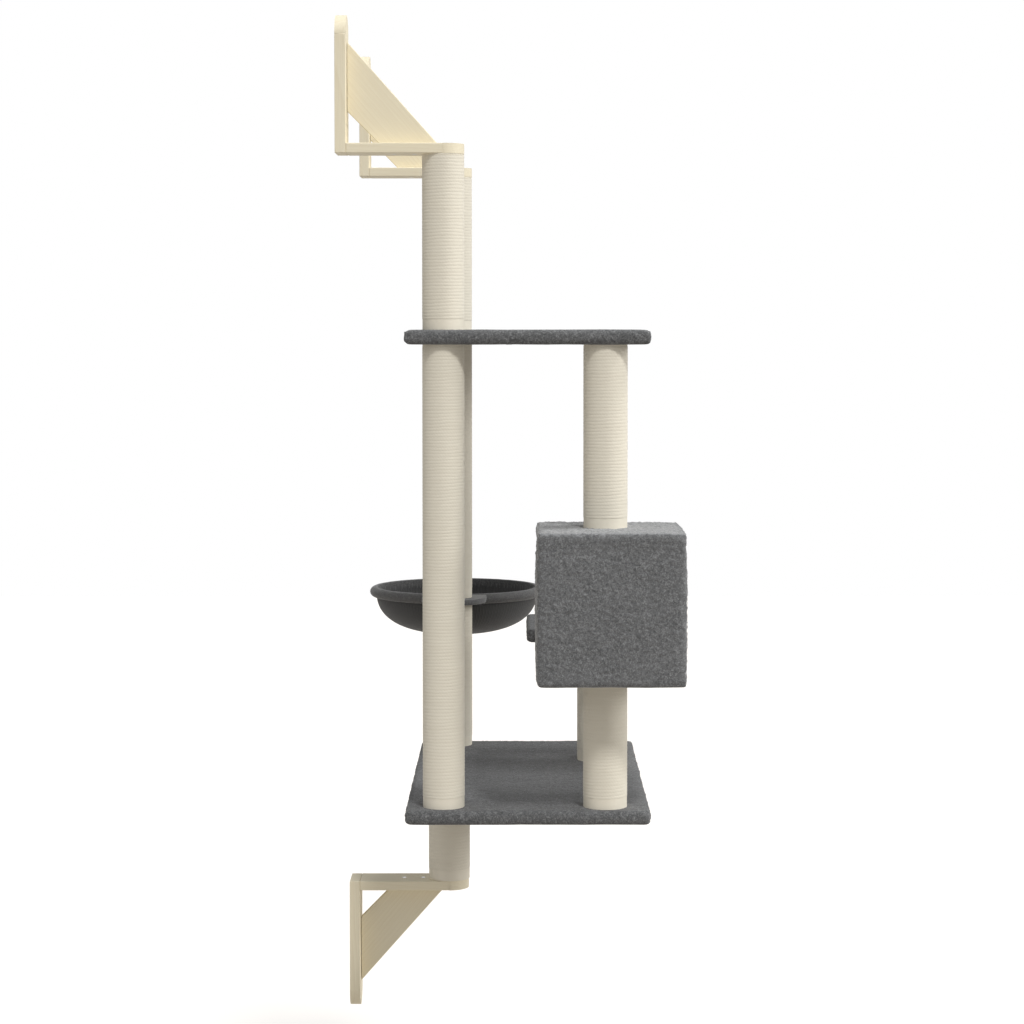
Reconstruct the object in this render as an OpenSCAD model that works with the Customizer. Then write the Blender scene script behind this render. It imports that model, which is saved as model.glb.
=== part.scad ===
// Wall mounted cat tree: three wooden brackets carry rope-wound posts, two plush
// platforms, a hideaway box, a perch and a fabric bowl that swivels on its post.
// X runs out from the wall, Y along the wall and Z up. The origin is the centre
// of the bottom bracket's wall face.

/* [Wall brackets] */
// Width of every wall plate and post arm
bracket_w = 76; // [66:1:90]
// Thickness of the wall plates
plate_t = 20; // [16:1:26]
// Length of the wall plates
plate_len = 248; // [225:1:300]
// Thickness of the post arms
arm_t = 18; // [15:1:24]
// Thickness of the diagonal braces
brace_t = 18; // [14:1:24]
// Leg of the brace's inner edge, along the plate and along the arm
brace_inner = 58; // [40:1:75]
// Leg of the brace's outer edge along the plate
brace_high = 182; // [165:1:195]
// Distance from the post bolt's axis to the toe of the brace
brace_toe = 9; // [9:0.5:20]
// Distance between the wall holes along the wall
wall_hole_dy = 50; // [40:1:56]
// Distance between the wall holes up the wall
wall_hole_dz = 150; // [120:1:160]
// Diameter of the wall holes
wall_hole_d = 5.5; // [4:0.5:7]

/* [Posts] */
// Outer diameter of the posts on the wall side
rear_post_d = 76; // [66:1:84]
// Outer diameter of the front posts, the perch post and the bottom post
front_post_d = 80; // [70:1:90]
// Diameter of the rope
rope_d = 6; // [5:0.5:8]
// Wall of the cardboard core tubes
core_wall = 4; // [3:0.5:6]
// Height of the smooth collar at the foot of each post
foot_collar = 20; // [12:1:26]
// Height of the smooth collar at the head of each post
head_collar = 3; // [2:1:22]
// How far the collars stand back from the face of the rope
collar_inset = 0.5; // [0:0.5:4]
// Distance from the wall to the axes of the wall-side posts
rear_post_x = 192; // [185:1:230]
// Distance from the wall to the axes of the front posts
front_post_x = 484; // [470:1:500]
// Distance along the wall between the two wall-side posts
post_span = 700; // [680:1:720]
// Place of the perch post along the wall
perch_post_y = 160; // [140:1:175]

/* [Heights] */
// Length of the short post on the bottom bracket
bottom_post_h = 178; // [150:1:182]
// Length of the long post from the bottom platform to the top platform
lower_post_h = 836; // [800:1:900]
// Length of the posts from the top platform to the upper brackets
upper_post_h = 315; // [250:1:380]
// Length of the front post under the hideaway
condo_post_h = 234; // [200:1:260]
// Length of the perch post
perch_post_h = 252; // [235:1:260]

/* [Platforms] */
// Thickness of the chipboard in the platforms and the perch
board_t = 16; // [12:1:20]
// Thickness of the plush
plush_t = 5; // [3:0.5:6]
// Depth of both platforms, out from the wall
deck_x = 440; // [430:1:470]
// Length of both platforms along the wall
deck_y = 800; // [790:1:860]
// Gap between the wall and the platforms
deck_gap = 124; // [115:1:134]
// Width of the plush folded under each platform
fold_w = 45; // [30:1:60]
// Radius of the plush edges
edge_r = 9; // [4:0.5:12]
// Depth of the perch, out from the wall
perch_x = 281; // [240:1:290]
// Length of the perch along the wall
perch_y = 285; // [240:1:300]

/* [Hideaway] */
// Depth of the hideaway, out from the wall
condo_x = 261; // [240:1:280]
// Length of the hideaway along the wall
condo_y = 280; // [260:1:300]
// Height of the hideaway
condo_h = 271; // [250:1:300]
// How far the hideaway's middle stands out from its post's axis
condo_shift = 7.5; // [0:0.5:15]
// Thickness of the roof and floor panels
condo_deck_t = 15; // [12:1:18]
// Thickness of the side panels
panel_t = 12; // [9:1:15]
// Diameter of the entrance in its panel
entrance_d = 170; // [150:1:180]
// Thickness of the floor mat
mat_t = 9; // [8:0.5:14]

/* [Bowl] */
// Outer radius of the bowl's padded rim
bowl_r = 188; // [170:1:188]
// Radius of the padded rim's roll
roll_r = 13; // [10:0.5:15]
// Depth of the fabric below the middle of the rim
bowl_depth = 94; // [70:1:110]
// Thickness of the fabric
fabric_t = 4; // [3:0.5:6]
// Clearance between the bowl's padded rim and the post
rim_clear = 7; // [7:1:24]
// Radius of the steel ring's rod
ring_rod_r = 4; // [3:0.5:5]
// Height of the holder's underside above the bottom platform
holder_lift = 296; // [250:1:340]
// Thickness of the holder with its cover
holder_t = 11; // [9:0.5:14]
// Radius of the holder's round end
holder_r = 67; // [64:1:76]
// Thickness of the holder's fabric cover
holder_skin = 2; // [1.5:0.5:2.5]
// Thickness of the steel fork plate
fork_t = 3; // [2:0.5:4]

/* [Fasteners] */
// Diameter of the bolts and studs
bolt_d = 8; // [6:0.5:8]
// Diameter of the wood screws' shanks
screw_d = 4; // [3:0.5:4.5]

/* [Hidden] */
$fn = 64;
// How far a cut runs past the face it opens
over = 1;
// Gap of a fixed round fit
fit_gap = 0.1;
// Gap of a thread or a pin that turns
pin_gap = 0.06;
// Gap on both faces of the swivelling holder
swivel_gap = 0.3;
// Gap round a bolt in a board
bolt_gap = 0.5;
// Gap round the floor mat
mat_gap = 0.8;
// Gap between the wound rope's ends and the caps' collars
wind_gap = 0.3;
// Depth of the caps' spigots in their tubes
spigot_h = 15;
// Length of an insert's barrel
insert_len = 12;
insert_wall = 1.5;
flange_r = 11;
flange_t = 1.5;
washer_r = 8;
washer_t = 1.6;
bolt_head_r = 7;
bolt_head_h = 5.3;
// Depth of the round pocket that takes a bolt's head and washer
bolt_sink = bolt_head_h + washer_t;
screw_head_r = 4.2;
screw_head_h = 3;
screw_bite = 24;
wall_sink_r = 5.2;
wall_sink_h = 3;
// Places of the brace's screws along its feet on the plate and on the arm
plate_foot_shares = [0.2, 0.6];
arm_foot_shares = [0.25, 0.6];
// Places of the arm's end screws across its width
end_screw_shares = [-0.3, 0.3];
// Faces round a soft edge
soft_faces = 24;
// Widest soft edge that still covers the board's corner, as a share of the plush
edge_share = 2.2;
// Exponent of the bowl's cross-section
bowl_power = 2.5;
// Stations down the bowl's cross-section
bowl_stations = 20;
// Sides and rings of the wound rope
rope_sides = 6;
loop_rings = 24;
most_loops = 24;
// Widest pitch of the wound rope, as a share of the rope
pitch_share = 1.03;

post_y = post_span / 2;
brace_long = rear_post_x - brace_toe - plate_t;
deck_t = board_t + 2 * plush_t;
bottom_arm_top = plate_len / 2;
bottom_deck_z = bottom_arm_top + bottom_post_h;
bottom_deck_top = bottom_deck_z + deck_t;
top_deck_z = bottom_deck_top + lower_post_h;
top_deck_top = top_deck_z + deck_t;
upper_arm_z = top_deck_top + upper_post_h;
condo_z = bottom_deck_top + condo_post_h;
condo_top = condo_z + condo_h;
condo_mid_x = front_post_x + condo_shift;
condo_inner_z = condo_z + plush_t + condo_deck_t;
condo_inner_top = condo_top - plush_t - condo_deck_t;
entrance_z = (condo_inner_z + mat_t + condo_inner_top) / 2;
perch_z = bottom_deck_top + perch_post_h;
perch_top = perch_z + deck_t;
holder_z = bottom_deck_top + holder_lift;
holder_top = holder_z + holder_t;
bowl_reach = rear_post_d / 2 + rim_clear + bowl_r;
bowl_x = rear_post_x;
bowl_y = post_y + bowl_reach;
rim_r = bowl_r - roll_r;
rim_z = holder_z + ring_rod_r;
basket_r = rim_r - fabric_t / 4;
bolt_r = bolt_d / 2;
foot_depth = foot_collar + spigot_h;
head_depth = head_collar + spigot_h;

// Each post: x, y, foot, head and diameter
left_rear_upper = [rear_post_x, -post_y, top_deck_top, upper_arm_z, rear_post_d];
right_rear_upper = [rear_post_x, post_y, top_deck_top, upper_arm_z, rear_post_d];
left_rear_lower = [rear_post_x, -post_y, bottom_deck_top, top_deck_z, rear_post_d];
right_rear_middle = [rear_post_x, post_y, holder_top + swivel_gap, top_deck_z, rear_post_d];
right_rear_lower = [rear_post_x, post_y, bottom_deck_top, holder_z - swivel_gap, rear_post_d];
left_front_upper = [front_post_x, -post_y, condo_top, top_deck_z, front_post_d];
left_front_lower = [front_post_x, -post_y, bottom_deck_top, condo_z, front_post_d];
perch_post = [front_post_x, perch_post_y, bottom_deck_top, perch_z, front_post_d];
bottom_post = [rear_post_x, 0, bottom_arm_top, bottom_deck_z, front_post_d];
POSTS = [
    left_rear_upper, right_rear_upper, left_rear_lower, right_rear_middle, right_rear_lower,
    left_front_upper, left_front_lower, perch_post, bottom_post
];

// Each bolt: x, y, the face that its head is level with, its direction, the thickness that
// it goes through and its depth in the cap
BOLTS = [
    [rear_post_x, -post_y, upper_arm_z + arm_t, -1, arm_t, head_depth],
    [rear_post_x, post_y, upper_arm_z + arm_t, -1, arm_t, head_depth],
    [rear_post_x, 0, bottom_arm_top - arm_t, 1, arm_t, foot_depth],
    [rear_post_x, 0, bottom_deck_top, -1, deck_t, head_depth],
    [rear_post_x, -post_y, bottom_deck_z, 1, deck_t, foot_depth],
    [rear_post_x, post_y, bottom_deck_z, 1, deck_t, foot_depth],
    [front_post_x, -post_y, bottom_deck_z, 1, deck_t, foot_depth],
    [front_post_x, perch_post_y, bottom_deck_z, 1, deck_t, foot_depth],
    [front_post_x, -post_y, top_deck_top, -1, deck_t, head_depth],
    [front_post_x, -post_y, condo_inner_top, 1, condo_deck_t + plush_t, foot_depth],
    [front_post_x, -post_y, condo_inner_z, -1, condo_deck_t + plush_t, head_depth],
    [front_post_x, perch_post_y, perch_top, -1, deck_t, head_depth]
];

// Places of the holes in each platform
TOP_DECK_HOLES = [[rear_post_x, -post_y], [rear_post_x, post_y], [front_post_x, -post_y]];
BOTTOM_DECK_HOLES = [
    [rear_post_x, -post_y], [rear_post_x, post_y], [front_post_x, -post_y],
    [front_post_x, perch_post_y], [rear_post_x, 0]
];

// A box with its middle on x and y, its foot on z, and all its edges rounded
module soft_box(x, y, z, size, r) {
    edge = min(r, size[2] / 2, plush_t * edge_share);
    translate([x, y, z])
        hull()
            for (sx = [-1, 1], sy = [-1, 1], sz = [edge, size[2] - edge])
                translate([sx * (size[0] / 2 - edge), sy * (size[1] / 2 - edge), sz])
                    sphere(r = edge, $fn = soft_faces);
}

// A plain box with its middle on x and y and its foot on z
module mid_box(x, y, z, size) {
    translate([x - size[0] / 2, y - size[1] / 2, z])
        cube(size);
}

// Upright holes through a board
module drill(places, z, h, r) {
    for (p = places)
        translate([p[0], p[1], z - over])
            cylinder(r = r, h = h + 2 * over);
}

// The pocket for the head and washer of each bolt whose face lies between two heights
module bolt_pockets(z0, z1) {
    for (b = BOLTS)
        if (b[2] >= z0 && b[2] <= z1)
            translate([b[0], b[1], b[2]])
                mirror([0, 0, b[3] > 0 ? 0 : 1])
                    translate([0, 0, -over])
                        cylinder(r = washer_r + bolt_gap, h = bolt_sink + over);
}

// A bracket's own place: upright above an upper arm, or turned over under the bottom arm
module at_left_bracket() {
    translate([0, -post_y, upper_arm_z])
        children();
}

module at_right_bracket() {
    translate([0, post_y, upper_arm_z])
        children();
}

module at_bottom_bracket() {
    translate([0, 0, bottom_arm_top])
        mirror([0, 0, 1])
            children();
}

// A countersunk screw along +X, its head's face on the plane x = 0
module screw_body(length, gap) {
    rotate([0, 90, 0])
        rotate_extrude()
            polygon([
                [0, 0],
                [screw_head_r + gap, 0],
                [screw_d / 2 + gap, screw_head_h],
                [screw_d / 2 + gap, length],
                [0, length]
            ]);
}

// All the screws of one bracket, as solids or as the holes that they fill
module bracket_screw_set(gap) {
    for (s = plate_foot_shares)
        translate([0, 0, arm_t + brace_inner + s * (brace_high - brace_inner)])
            screw_body(plate_t + screw_bite, gap);
    for (s = end_screw_shares)
        translate([0, s * bracket_w, arm_t / 2])
            screw_body(plate_t + screw_bite, gap);
    for (s = arm_foot_shares)
        translate([plate_t + brace_inner + s * (brace_long - brace_inner), 0, 0])
            rotate([0, -90, 0])
                screw_body(arm_t + screw_bite, gap);
}

module bracket_plate() {
    difference() {
        rotate([0, 90, 0])
            linear_extrude(plate_t)
                union() {
                    translate([bracket_w / 2 - plate_len, -bracket_w / 2])
                        square([plate_len - bracket_w / 2, bracket_w]);
                    translate([bracket_w / 2 - plate_len, 0])
                        circle(d = bracket_w);
                }
        for (sy = [-1, 1], sz = [-1, 1])
            translate([0, sy * wall_hole_dy / 2, plate_len / 2 + sz * wall_hole_dz / 2])
                rotate([0, 90, 0]) {
                    translate([0, 0, -over])
                        cylinder(d = wall_hole_d, h = plate_t + 2 * over);
                    translate([0, 0, plate_t - wall_sink_h])
                        cylinder(r1 = wall_hole_d / 2, r2 = wall_sink_r, h = wall_sink_h);
                }
        bracket_screw_set(fit_gap);
    }
}

module bracket_arm() {
    difference() {
        linear_extrude(arm_t)
            union() {
                translate([plate_t, -bracket_w / 2])
                    square([rear_post_x - plate_t, bracket_w]);
                translate([rear_post_x, 0])
                    circle(d = bracket_w);
            }
        drill([[rear_post_x, 0]], 0, arm_t, bolt_r + bolt_gap);
        translate([rear_post_x, 0, arm_t - bolt_sink])
            cylinder(r = washer_r + bolt_gap, h = bolt_sink + over);
        bracket_screw_set(fit_gap);
    }
}

module bracket_brace() {
    difference() {
        translate([0, brace_t / 2, 0])
            rotate([90, 0, 0])
                linear_extrude(brace_t)
                    polygon([
                        [plate_t, arm_t + brace_inner],
                        [plate_t, arm_t + brace_high],
                        [plate_t + brace_long, arm_t],
                        [plate_t + brace_inner, arm_t]
                    ]);
        bracket_screw_set(fit_gap);
    }
}

// The cardboard tube inside a post, thinner by the shrink all round
module post_core(p, shrink = 0) {
    translate([p[0], p[1], p[2] + foot_collar])
        difference() {
            cylinder(
                d = p[4] - 2 * rope_d - 2 * shrink,
                h = p[3] - p[2] - foot_collar - head_collar
            );
            translate([0, 0, -over])
                cylinder(
                    d = p[4] - 2 * rope_d - 2 * core_wall,
                    h = p[3] - p[2] - foot_collar - head_collar + 2 * over
                );
        }
}

// A long winding of touching turns, as one sleeve
module rope_sleeve(p) {
    translate([p[0], p[1], p[2] + foot_collar])
        difference() {
            cylinder(d = p[4], h = p[3] - p[2] - foot_collar - head_collar);
            translate([0, 0, -over])
                cylinder(
                    d = p[4] - 2 * rope_d + 2 * fit_gap,
                    h = p[3] - p[2] - foot_collar - head_collar + 2 * over
                );
        }
}

// The cap at one end of a post, with its outer face on z = 0 and its spigot above
module end_cap(post_d, collar) {
    core_in = post_d - 2 * rope_d - 2 * core_wall;
    difference() {
        union() {
            cylinder(d = post_d - 2 * collar_inset, h = collar);
            cylinder(d = core_in - 2 * fit_gap, h = collar + spigot_h);
        }
        translate([0, 0, -over])
            cylinder(r = bolt_r + bolt_gap, h = collar + spigot_h + 2 * over);
        translate([0, 0, collar + spigot_h - insert_len])
            cylinder(r = bolt_r + insert_wall + fit_gap, h = insert_len + over);
    }
}

// The flanged insert in the spigot of a cap whose outer face is on z = 0
module insert(collar) {
    translate([0, 0, collar + spigot_h - insert_len])
        difference() {
            union() {
                cylinder(r = bolt_r + insert_wall, h = insert_len);
                translate([0, 0, insert_len])
                    cylinder(r = flange_r, h = flange_t);
            }
            translate([0, 0, -over])
                cylinder(r = bolt_r + pin_gap, h = insert_len + flange_t + 2 * over);
        }
}

// Puts what it holds at the foot of a post, and turned over at the head
module at_foot(p) {
    translate([p[0], p[1], p[2]])
        children();
}

module at_head(p) {
    translate([p[0], p[1], p[3]])
        mirror([0, 0, 1])
            children();
}

// The wound rope: a helix of touching turns with a straight end at each side
wind_r = bottom_post[4] / 2 - rope_d / 2;
rope_half_h = rope_d / 2 * cos(180 / rope_sides);
wind_foot = bottom_post[2] + foot_collar + rope_half_h + wind_gap;
wind_rise = bottom_post_h - foot_collar - head_collar - 2 * rope_half_h - 2 * wind_gap;
wind_loops = min(most_loops, floor(wind_rise / (rope_d * pitch_share)));
wind_rings = wind_loops * loop_rings;
wind_slope = wind_rise / (wind_loops * 2 * PI * wind_r);
// The straight faces of a loop dip in between its rings, so the tube inside it is thinner
wound_core_shrink = (wind_r - rope_d / 2) * (1 - cos(180 / loop_rings)) + fit_gap;

function wind_radial(turn) = [cos(turn), sin(turn), 0];
function wind_along(turn) = [-sin(turn), cos(turn), wind_slope] / norm([1, wind_slope]);
function wind_mid(i) = wind_r * wind_radial(360 * i / loop_rings)
    + [bottom_post[0], bottom_post[1], wind_foot + wind_rise * i / wind_rings];
function ring_turn(k) = 360 * min(max(k - 1, 0), wind_rings) / loop_rings;
function ring_mid(k) = wind_mid(min(max(k - 1, 0), wind_rings))
    + rope_d * (k == 0 ? -1 : k == wind_rings + 2 ? 1 : 0) * wind_along(ring_turn(k));
function ring_points(k) = let (
    out = wind_radial(ring_turn(k)),
    up = cross(out, wind_along(ring_turn(k))),
    mid = ring_mid(k)
) [for (j = [0 : rope_sides - 1])
    mid + rope_d / 2 * (cos(360 * j / rope_sides) * out + sin(360 * j / rope_sides) * up)];
rope_rings = [for (k = [0 : wind_rings + 2]) ring_points(k)];
rope_least_gap = min([for (k = [1 : wind_rings + 1 - loop_rings], a = rope_rings[k],
    b = rope_rings[k + loop_rings]) norm(a - b)]);
echo(rope_least_gap = rope_least_gap, rope_loops = wind_loops);

module wound_rope() {
    last = len(rope_rings) - 1;
    points = [for (ring = rope_rings, p = ring) p];
    sides = [for (k = [0 : last - 1], j = [0 : rope_sides - 1])
        let (a = k * rope_sides + j, b = k * rope_sides + (j + 1) % rope_sides)
            each [[a, b, a + rope_sides], [b, b + rope_sides, a + rope_sides]]];
    first_cap = [for (j = [1 : rope_sides - 2]) [0, j + 1, j]];
    base = last * rope_sides;
    last_cap = [for (j = [1 : rope_sides - 2]) [base, base + j, base + j + 1]];
    polyhedron(points = points, faces = concat(sides, first_cap, last_cap));
}

// A bolt with its head level with the face, entering along its direction
module bolt(b) {
    translate([b[0], b[1], b[2]])
        mirror([0, 0, b[3] > 0 ? 0 : 1]) {
            cylinder(r = bolt_head_r, h = bolt_head_h, $fn = 6);
            translate([0, 0, bolt_head_h / 2])
                cylinder(r = bolt_r, h = b[4] + b[5] - bolt_head_h / 2);
        }
}

module washer(b) {
    translate([b[0], b[1], b[2]])
        mirror([0, 0, b[3] > 0 ? 0 : 1])
            translate([0, 0, bolt_head_h])
                difference() {
                    cylinder(r = washer_r, h = washer_t);
                    translate([0, 0, -over])
                        cylinder(r = bolt_r + fit_gap, h = washer_t + 2 * over);
                }
}

// A stud from the head of one post into the foot of the next
module stud(lower, upper) {
    translate([lower[0], lower[1], lower[3] - head_depth])
        cylinder(r = bolt_r, h = upper[2] - lower[3] + head_depth + foot_depth);
}

deck_mid_x = deck_gap + deck_x / 2;
window = [deck_x - 2 * fold_w, deck_y - 2 * fold_w];

module deck_board(z, holes) {
    difference() {
        mid_box(deck_mid_x, 0, z + plush_t, [deck_x - 2 * plush_t, deck_y - 2 * plush_t, board_t]);
        drill(holes, z, deck_t, bolt_r + bolt_gap);
        bolt_pockets(z, z + deck_t);
    }
}

module deck_cover(z, holes) {
    difference() {
        soft_box(deck_mid_x, 0, z, [deck_x, deck_y, deck_t], edge_r);
        mid_box(deck_mid_x, 0, z + plush_t, [deck_x - 2 * plush_t, deck_y - 2 * plush_t, board_t]);
        mid_box(deck_mid_x, 0, z - over, [window[0], window[1], plush_t + 2 * over]);
        drill(holes, z, deck_t, bolt_r + bolt_gap);
        bolt_pockets(z, z + deck_t);
    }
}

module deck_underlay(z, holes) {
    difference() {
        mid_box(deck_mid_x, 0, z, [window[0] - 2 * fit_gap, window[1] - 2 * fit_gap, plush_t]);
        drill(holes, z, deck_t, bolt_r + bolt_gap);
        bolt_pockets(z, z + deck_t);
    }
}

panel_h = condo_inner_top - condo_inner_z;
condo_in_x = condo_x - 2 * plush_t;
condo_in_y = condo_y - 2 * plush_t;

module condo_deck(z) {
    difference() {
        mid_box(condo_mid_x, -post_y, z, [condo_in_x, condo_in_y, condo_deck_t]);
        drill([[front_post_x, -post_y]], z, condo_deck_t, bolt_r + bolt_gap);
        bolt_pockets(z, z + condo_deck_t);
        condo_screw_set(fit_gap);
    }
}

// An end panel across the full depth; a side panel stands between the two end panels
module condo_end(y) {
    difference() {
        mid_box(condo_mid_x, y, condo_inner_z, [condo_in_x, panel_t, panel_h]);
        condo_screw_set(fit_gap);
    }
}

module condo_side(x) {
    mid_box(x, -post_y, condo_inner_z, [panel_t, condo_in_y - 2 * panel_t, panel_h]);
}

condo_entrance_y = -post_y + condo_in_y / 2 - panel_t / 2;
condo_end_y = -post_y - condo_in_y / 2 + panel_t / 2;
condo_screw_shares = [-0.35, 0.35];

// Screws down through the roof and up through the floor into both end panels
module condo_screw_set(gap) {
    for (y = [condo_entrance_y, condo_end_y], s = condo_screw_shares)
        translate([condo_mid_x + s * condo_in_x, y, 0]) {
            translate([0, 0, condo_top - plush_t])
                rotate([0, 90, 0])
                    screw_body(condo_deck_t + screw_bite, gap);
            translate([0, 0, condo_z + plush_t])
                rotate([0, -90, 0])
                    screw_body(condo_deck_t + screw_bite, gap);
        }
}

// A cylinder along Y through the entrance
module entrance_cut(r, y0, y1) {
    translate([condo_mid_x, y0, entrance_z])
        rotate([-90, 0, 0])
            cylinder(r = r, h = y1 - y0);
}

// The entrance's bound edge: its lining, its lip beyond the hole and the lip's height
trim_wall = 3;
trim_lip = 8;
trim_proud = 4;
trim_stations = 8;
condo_face_y = -post_y + condo_y / 2;

module trim_ring() {
    r = entrance_d / 2;
    depth = panel_t + plush_t;
    lip_half = (trim_lip + trim_wall) / 2;
    lip = [for (i = [0 : trim_stations])
        let (a = 180 * i / trim_stations)
            [r + trim_lip - lip_half + lip_half * cos(a), trim_proud * sin(a)]];
    translate([condo_mid_x, condo_face_y, entrance_z])
        rotate([-90, 0, 0])
            rotate_extrude()
                polygon(concat(
                    [[r - trim_wall, -depth], [r - fit_gap, -depth], [r - fit_gap, 0]],
                    lip
                ));
}

// The holder's outline round the post, hollowed where the bowl's rim comes close
module holder_outline(inset) {
    translate([0, 0, inset])
        difference() {
            union() {
                translate([rear_post_x, post_y, holder_z])
                    cylinder(r = holder_r - inset, h = holder_t - 2 * inset);
                mid_box(
                    rear_post_x, post_y + holder_r / 2, holder_z,
                    [2 * (holder_r - inset), holder_r, holder_t - 2 * inset]
                );
            }
            translate([bowl_x, bowl_y, holder_z - over])
                cylinder(r = bowl_r + swivel_gap + inset, h = holder_t + 2 * over);
        }
}

// How far the fork stays inside the holder's edge, and off the post below it
fork_margin = 4;
fork_clear = 3;
fork_r = holder_r - fork_margin;
fork_in = rear_post_d / 2 + fork_clear;
fork_screw_r = (fork_r + fork_in) / 2;
fork_screw_shares = [-1, 1];
fork_screw_d = 5;
// How far the fork's plate would run from the post's axis if the ring didn't end it
fork_run = bowl_reach - rim_r + fork_in;

// The fork's two screws, from below through the plate into the holder board
module fork_screw_set(gap) {
    for (s = fork_screw_shares)
        translate([rear_post_x + s * fork_screw_r, post_y, 0]) {
            translate([0, 0, holder_z - fork_t - fork_screw_d / 2 - gap])
                cylinder(r = fork_screw_d + gap, h = fork_screw_d / 2 + gap);
            translate([0, 0, holder_z - fork_t - fork_screw_d / 4])
                cylinder(r = fork_screw_d / 2 + gap, h = fork_t + fork_screw_d / 4 + holder_t - holder_skin);
        }
}

// The fork's plate before the ring and the post cut it, grown by the gap
module fork_plate(gap) {
    translate([rear_post_x, post_y, holder_z - fork_t - gap])
        cylinder(r = fork_r + gap, h = fork_t + 2 * gap);
    mid_box(
        rear_post_x, post_y + fork_run / 2, holder_z - fork_t - gap,
        [2 * (fork_in + gap), fork_run, fork_t + 2 * gap]
    );
}

// A ring of round section at the rim: the steel rod or the padding round it
module rim_solid(r) {
    translate([bowl_x, bowl_y, rim_z])
        rotate_extrude($fn = 128)
            translate([rim_r, 0])
                circle(r = r, $fn = 48);
}

// Half-width of the fabric at a share of the way from the middle to its edge, and its depth there
function bowl_drop(share, depth) = -depth * pow(1 - pow(share, bowl_power), 1 / bowl_power);
function bowl_share(i) = sin(90 * i / bowl_stations);
function bowl_side(r, depth) = [for (i = [0 : bowl_stations])
    [r * bowl_share(i), bowl_drop(bowl_share(i), depth)]];

module basket_shell() {
    inner = bowl_side(basket_r - fabric_t, bowl_depth - fabric_t);
    outer = bowl_side(basket_r, bowl_depth);
    translate([bowl_x, bowl_y, rim_z])
        rotate_extrude($fn = 128)
            polygon(concat(outer, [for (i = [bowl_stations : -1 : 0]) inner[i]]));
}

module left_bracket_plate() {
    color("blanchedalmond") at_left_bracket() bracket_plate();
}

module left_bracket_arm() {
    color("blanchedalmond") at_left_bracket() bracket_arm();
}

module left_bracket_brace() {
    color("wheat") at_left_bracket() bracket_brace();
}

module right_bracket_plate() {
    color("blanchedalmond") at_right_bracket() bracket_plate();
}

module right_bracket_arm() {
    color("blanchedalmond") at_right_bracket() bracket_arm();
}

module right_bracket_brace() {
    color("wheat") at_right_bracket() bracket_brace();
}

module bottom_bracket_plate() {
    color("blanchedalmond") at_bottom_bracket() bracket_plate();
}

module bottom_bracket_arm() {
    color("blanchedalmond") at_bottom_bracket() bracket_arm();
}

module bottom_bracket_brace() {
    color("wheat") at_bottom_bracket() bracket_brace();
}

module bracket_screws() {
    color("silver") {
        at_left_bracket() bracket_screw_set(0);
        at_right_bracket() bracket_screw_set(0);
        at_bottom_bracket() bracket_screw_set(0);
    }
}

module left_rear_upper_core() {
    color("tan") post_core(left_rear_upper);
}

module right_rear_upper_core() {
    color("tan") post_core(right_rear_upper);
}

module left_rear_lower_core() {
    color("tan") post_core(left_rear_lower);
}

module right_rear_middle_core() {
    color("tan") post_core(right_rear_middle);
}

module right_rear_lower_core() {
    color("tan") post_core(right_rear_lower);
}

module left_front_upper_core() {
    color("tan") post_core(left_front_upper);
}

module left_front_lower_core() {
    color("tan") post_core(left_front_lower);
}

module perch_post_core() {
    color("tan") post_core(perch_post);
}

module bottom_post_core() {
    color("tan") post_core(bottom_post, wound_core_shrink);
}

module left_rear_upper_rope() {
    color("cornsilk") rope_sleeve(left_rear_upper);
}

module right_rear_upper_rope() {
    color("cornsilk") rope_sleeve(right_rear_upper);
}

module left_rear_lower_rope() {
    color("cornsilk") rope_sleeve(left_rear_lower);
}

module right_rear_middle_rope() {
    color("cornsilk") rope_sleeve(right_rear_middle);
}

module right_rear_lower_rope() {
    color("cornsilk") rope_sleeve(right_rear_lower);
}

module left_front_upper_rope() {
    color("cornsilk") rope_sleeve(left_front_upper);
}

module left_front_lower_rope() {
    color("cornsilk") rope_sleeve(left_front_lower);
}

module perch_post_rope() {
    color("cornsilk") rope_sleeve(perch_post);
}

module bottom_post_rope() {
    color("cornsilk") wound_rope();
}

module post_end_caps() {
    color("oldlace")
        for (p = POSTS) {
            at_foot(p) end_cap(p[4], foot_collar);
            at_head(p) end_cap(p[4], head_collar);
        }
}

module threaded_inserts() {
    color("silver")
        for (p = POSTS) {
            at_foot(p) insert(foot_collar);
            at_head(p) insert(head_collar);
        }
}

module connecting_studs() {
    color("silver") {
        stud(left_rear_lower, left_rear_upper);
        stud(right_rear_middle, right_rear_upper);
    }
}

module holder_stud() {
    color("silver") stud(right_rear_lower, right_rear_middle);
}

module post_bolts() {
    color("silver")
        for (b = BOLTS)
            bolt(b);
}

module bolt_washers() {
    color("gainsboro")
        for (b = BOLTS)
            washer(b);
}

module top_platform_board() {
    color("burlywood") deck_board(top_deck_z, TOP_DECK_HOLES);
}

module top_platform_cover() {
    color("dimgray") deck_cover(top_deck_z, TOP_DECK_HOLES);
}

module top_platform_underlay() {
    color("gray") deck_underlay(top_deck_z, TOP_DECK_HOLES);
}

module bottom_platform_board() {
    color("burlywood") deck_board(bottom_deck_z, BOTTOM_DECK_HOLES);
}

module bottom_platform_cover() {
    color("dimgray") deck_cover(bottom_deck_z, BOTTOM_DECK_HOLES);
}

module bottom_platform_underlay() {
    color("gray") deck_underlay(bottom_deck_z, BOTTOM_DECK_HOLES);
}

module condo_floor() {
    color("burlywood") condo_deck(condo_z + plush_t);
}

module condo_roof() {
    color("burlywood") condo_deck(condo_inner_top);
}

module condo_entrance_panel() {
    color("burlywood")
        difference() {
            condo_end(condo_entrance_y);
            entrance_cut(entrance_d / 2, condo_entrance_y - panel_t, condo_entrance_y + panel_t);
        }
}

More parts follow.
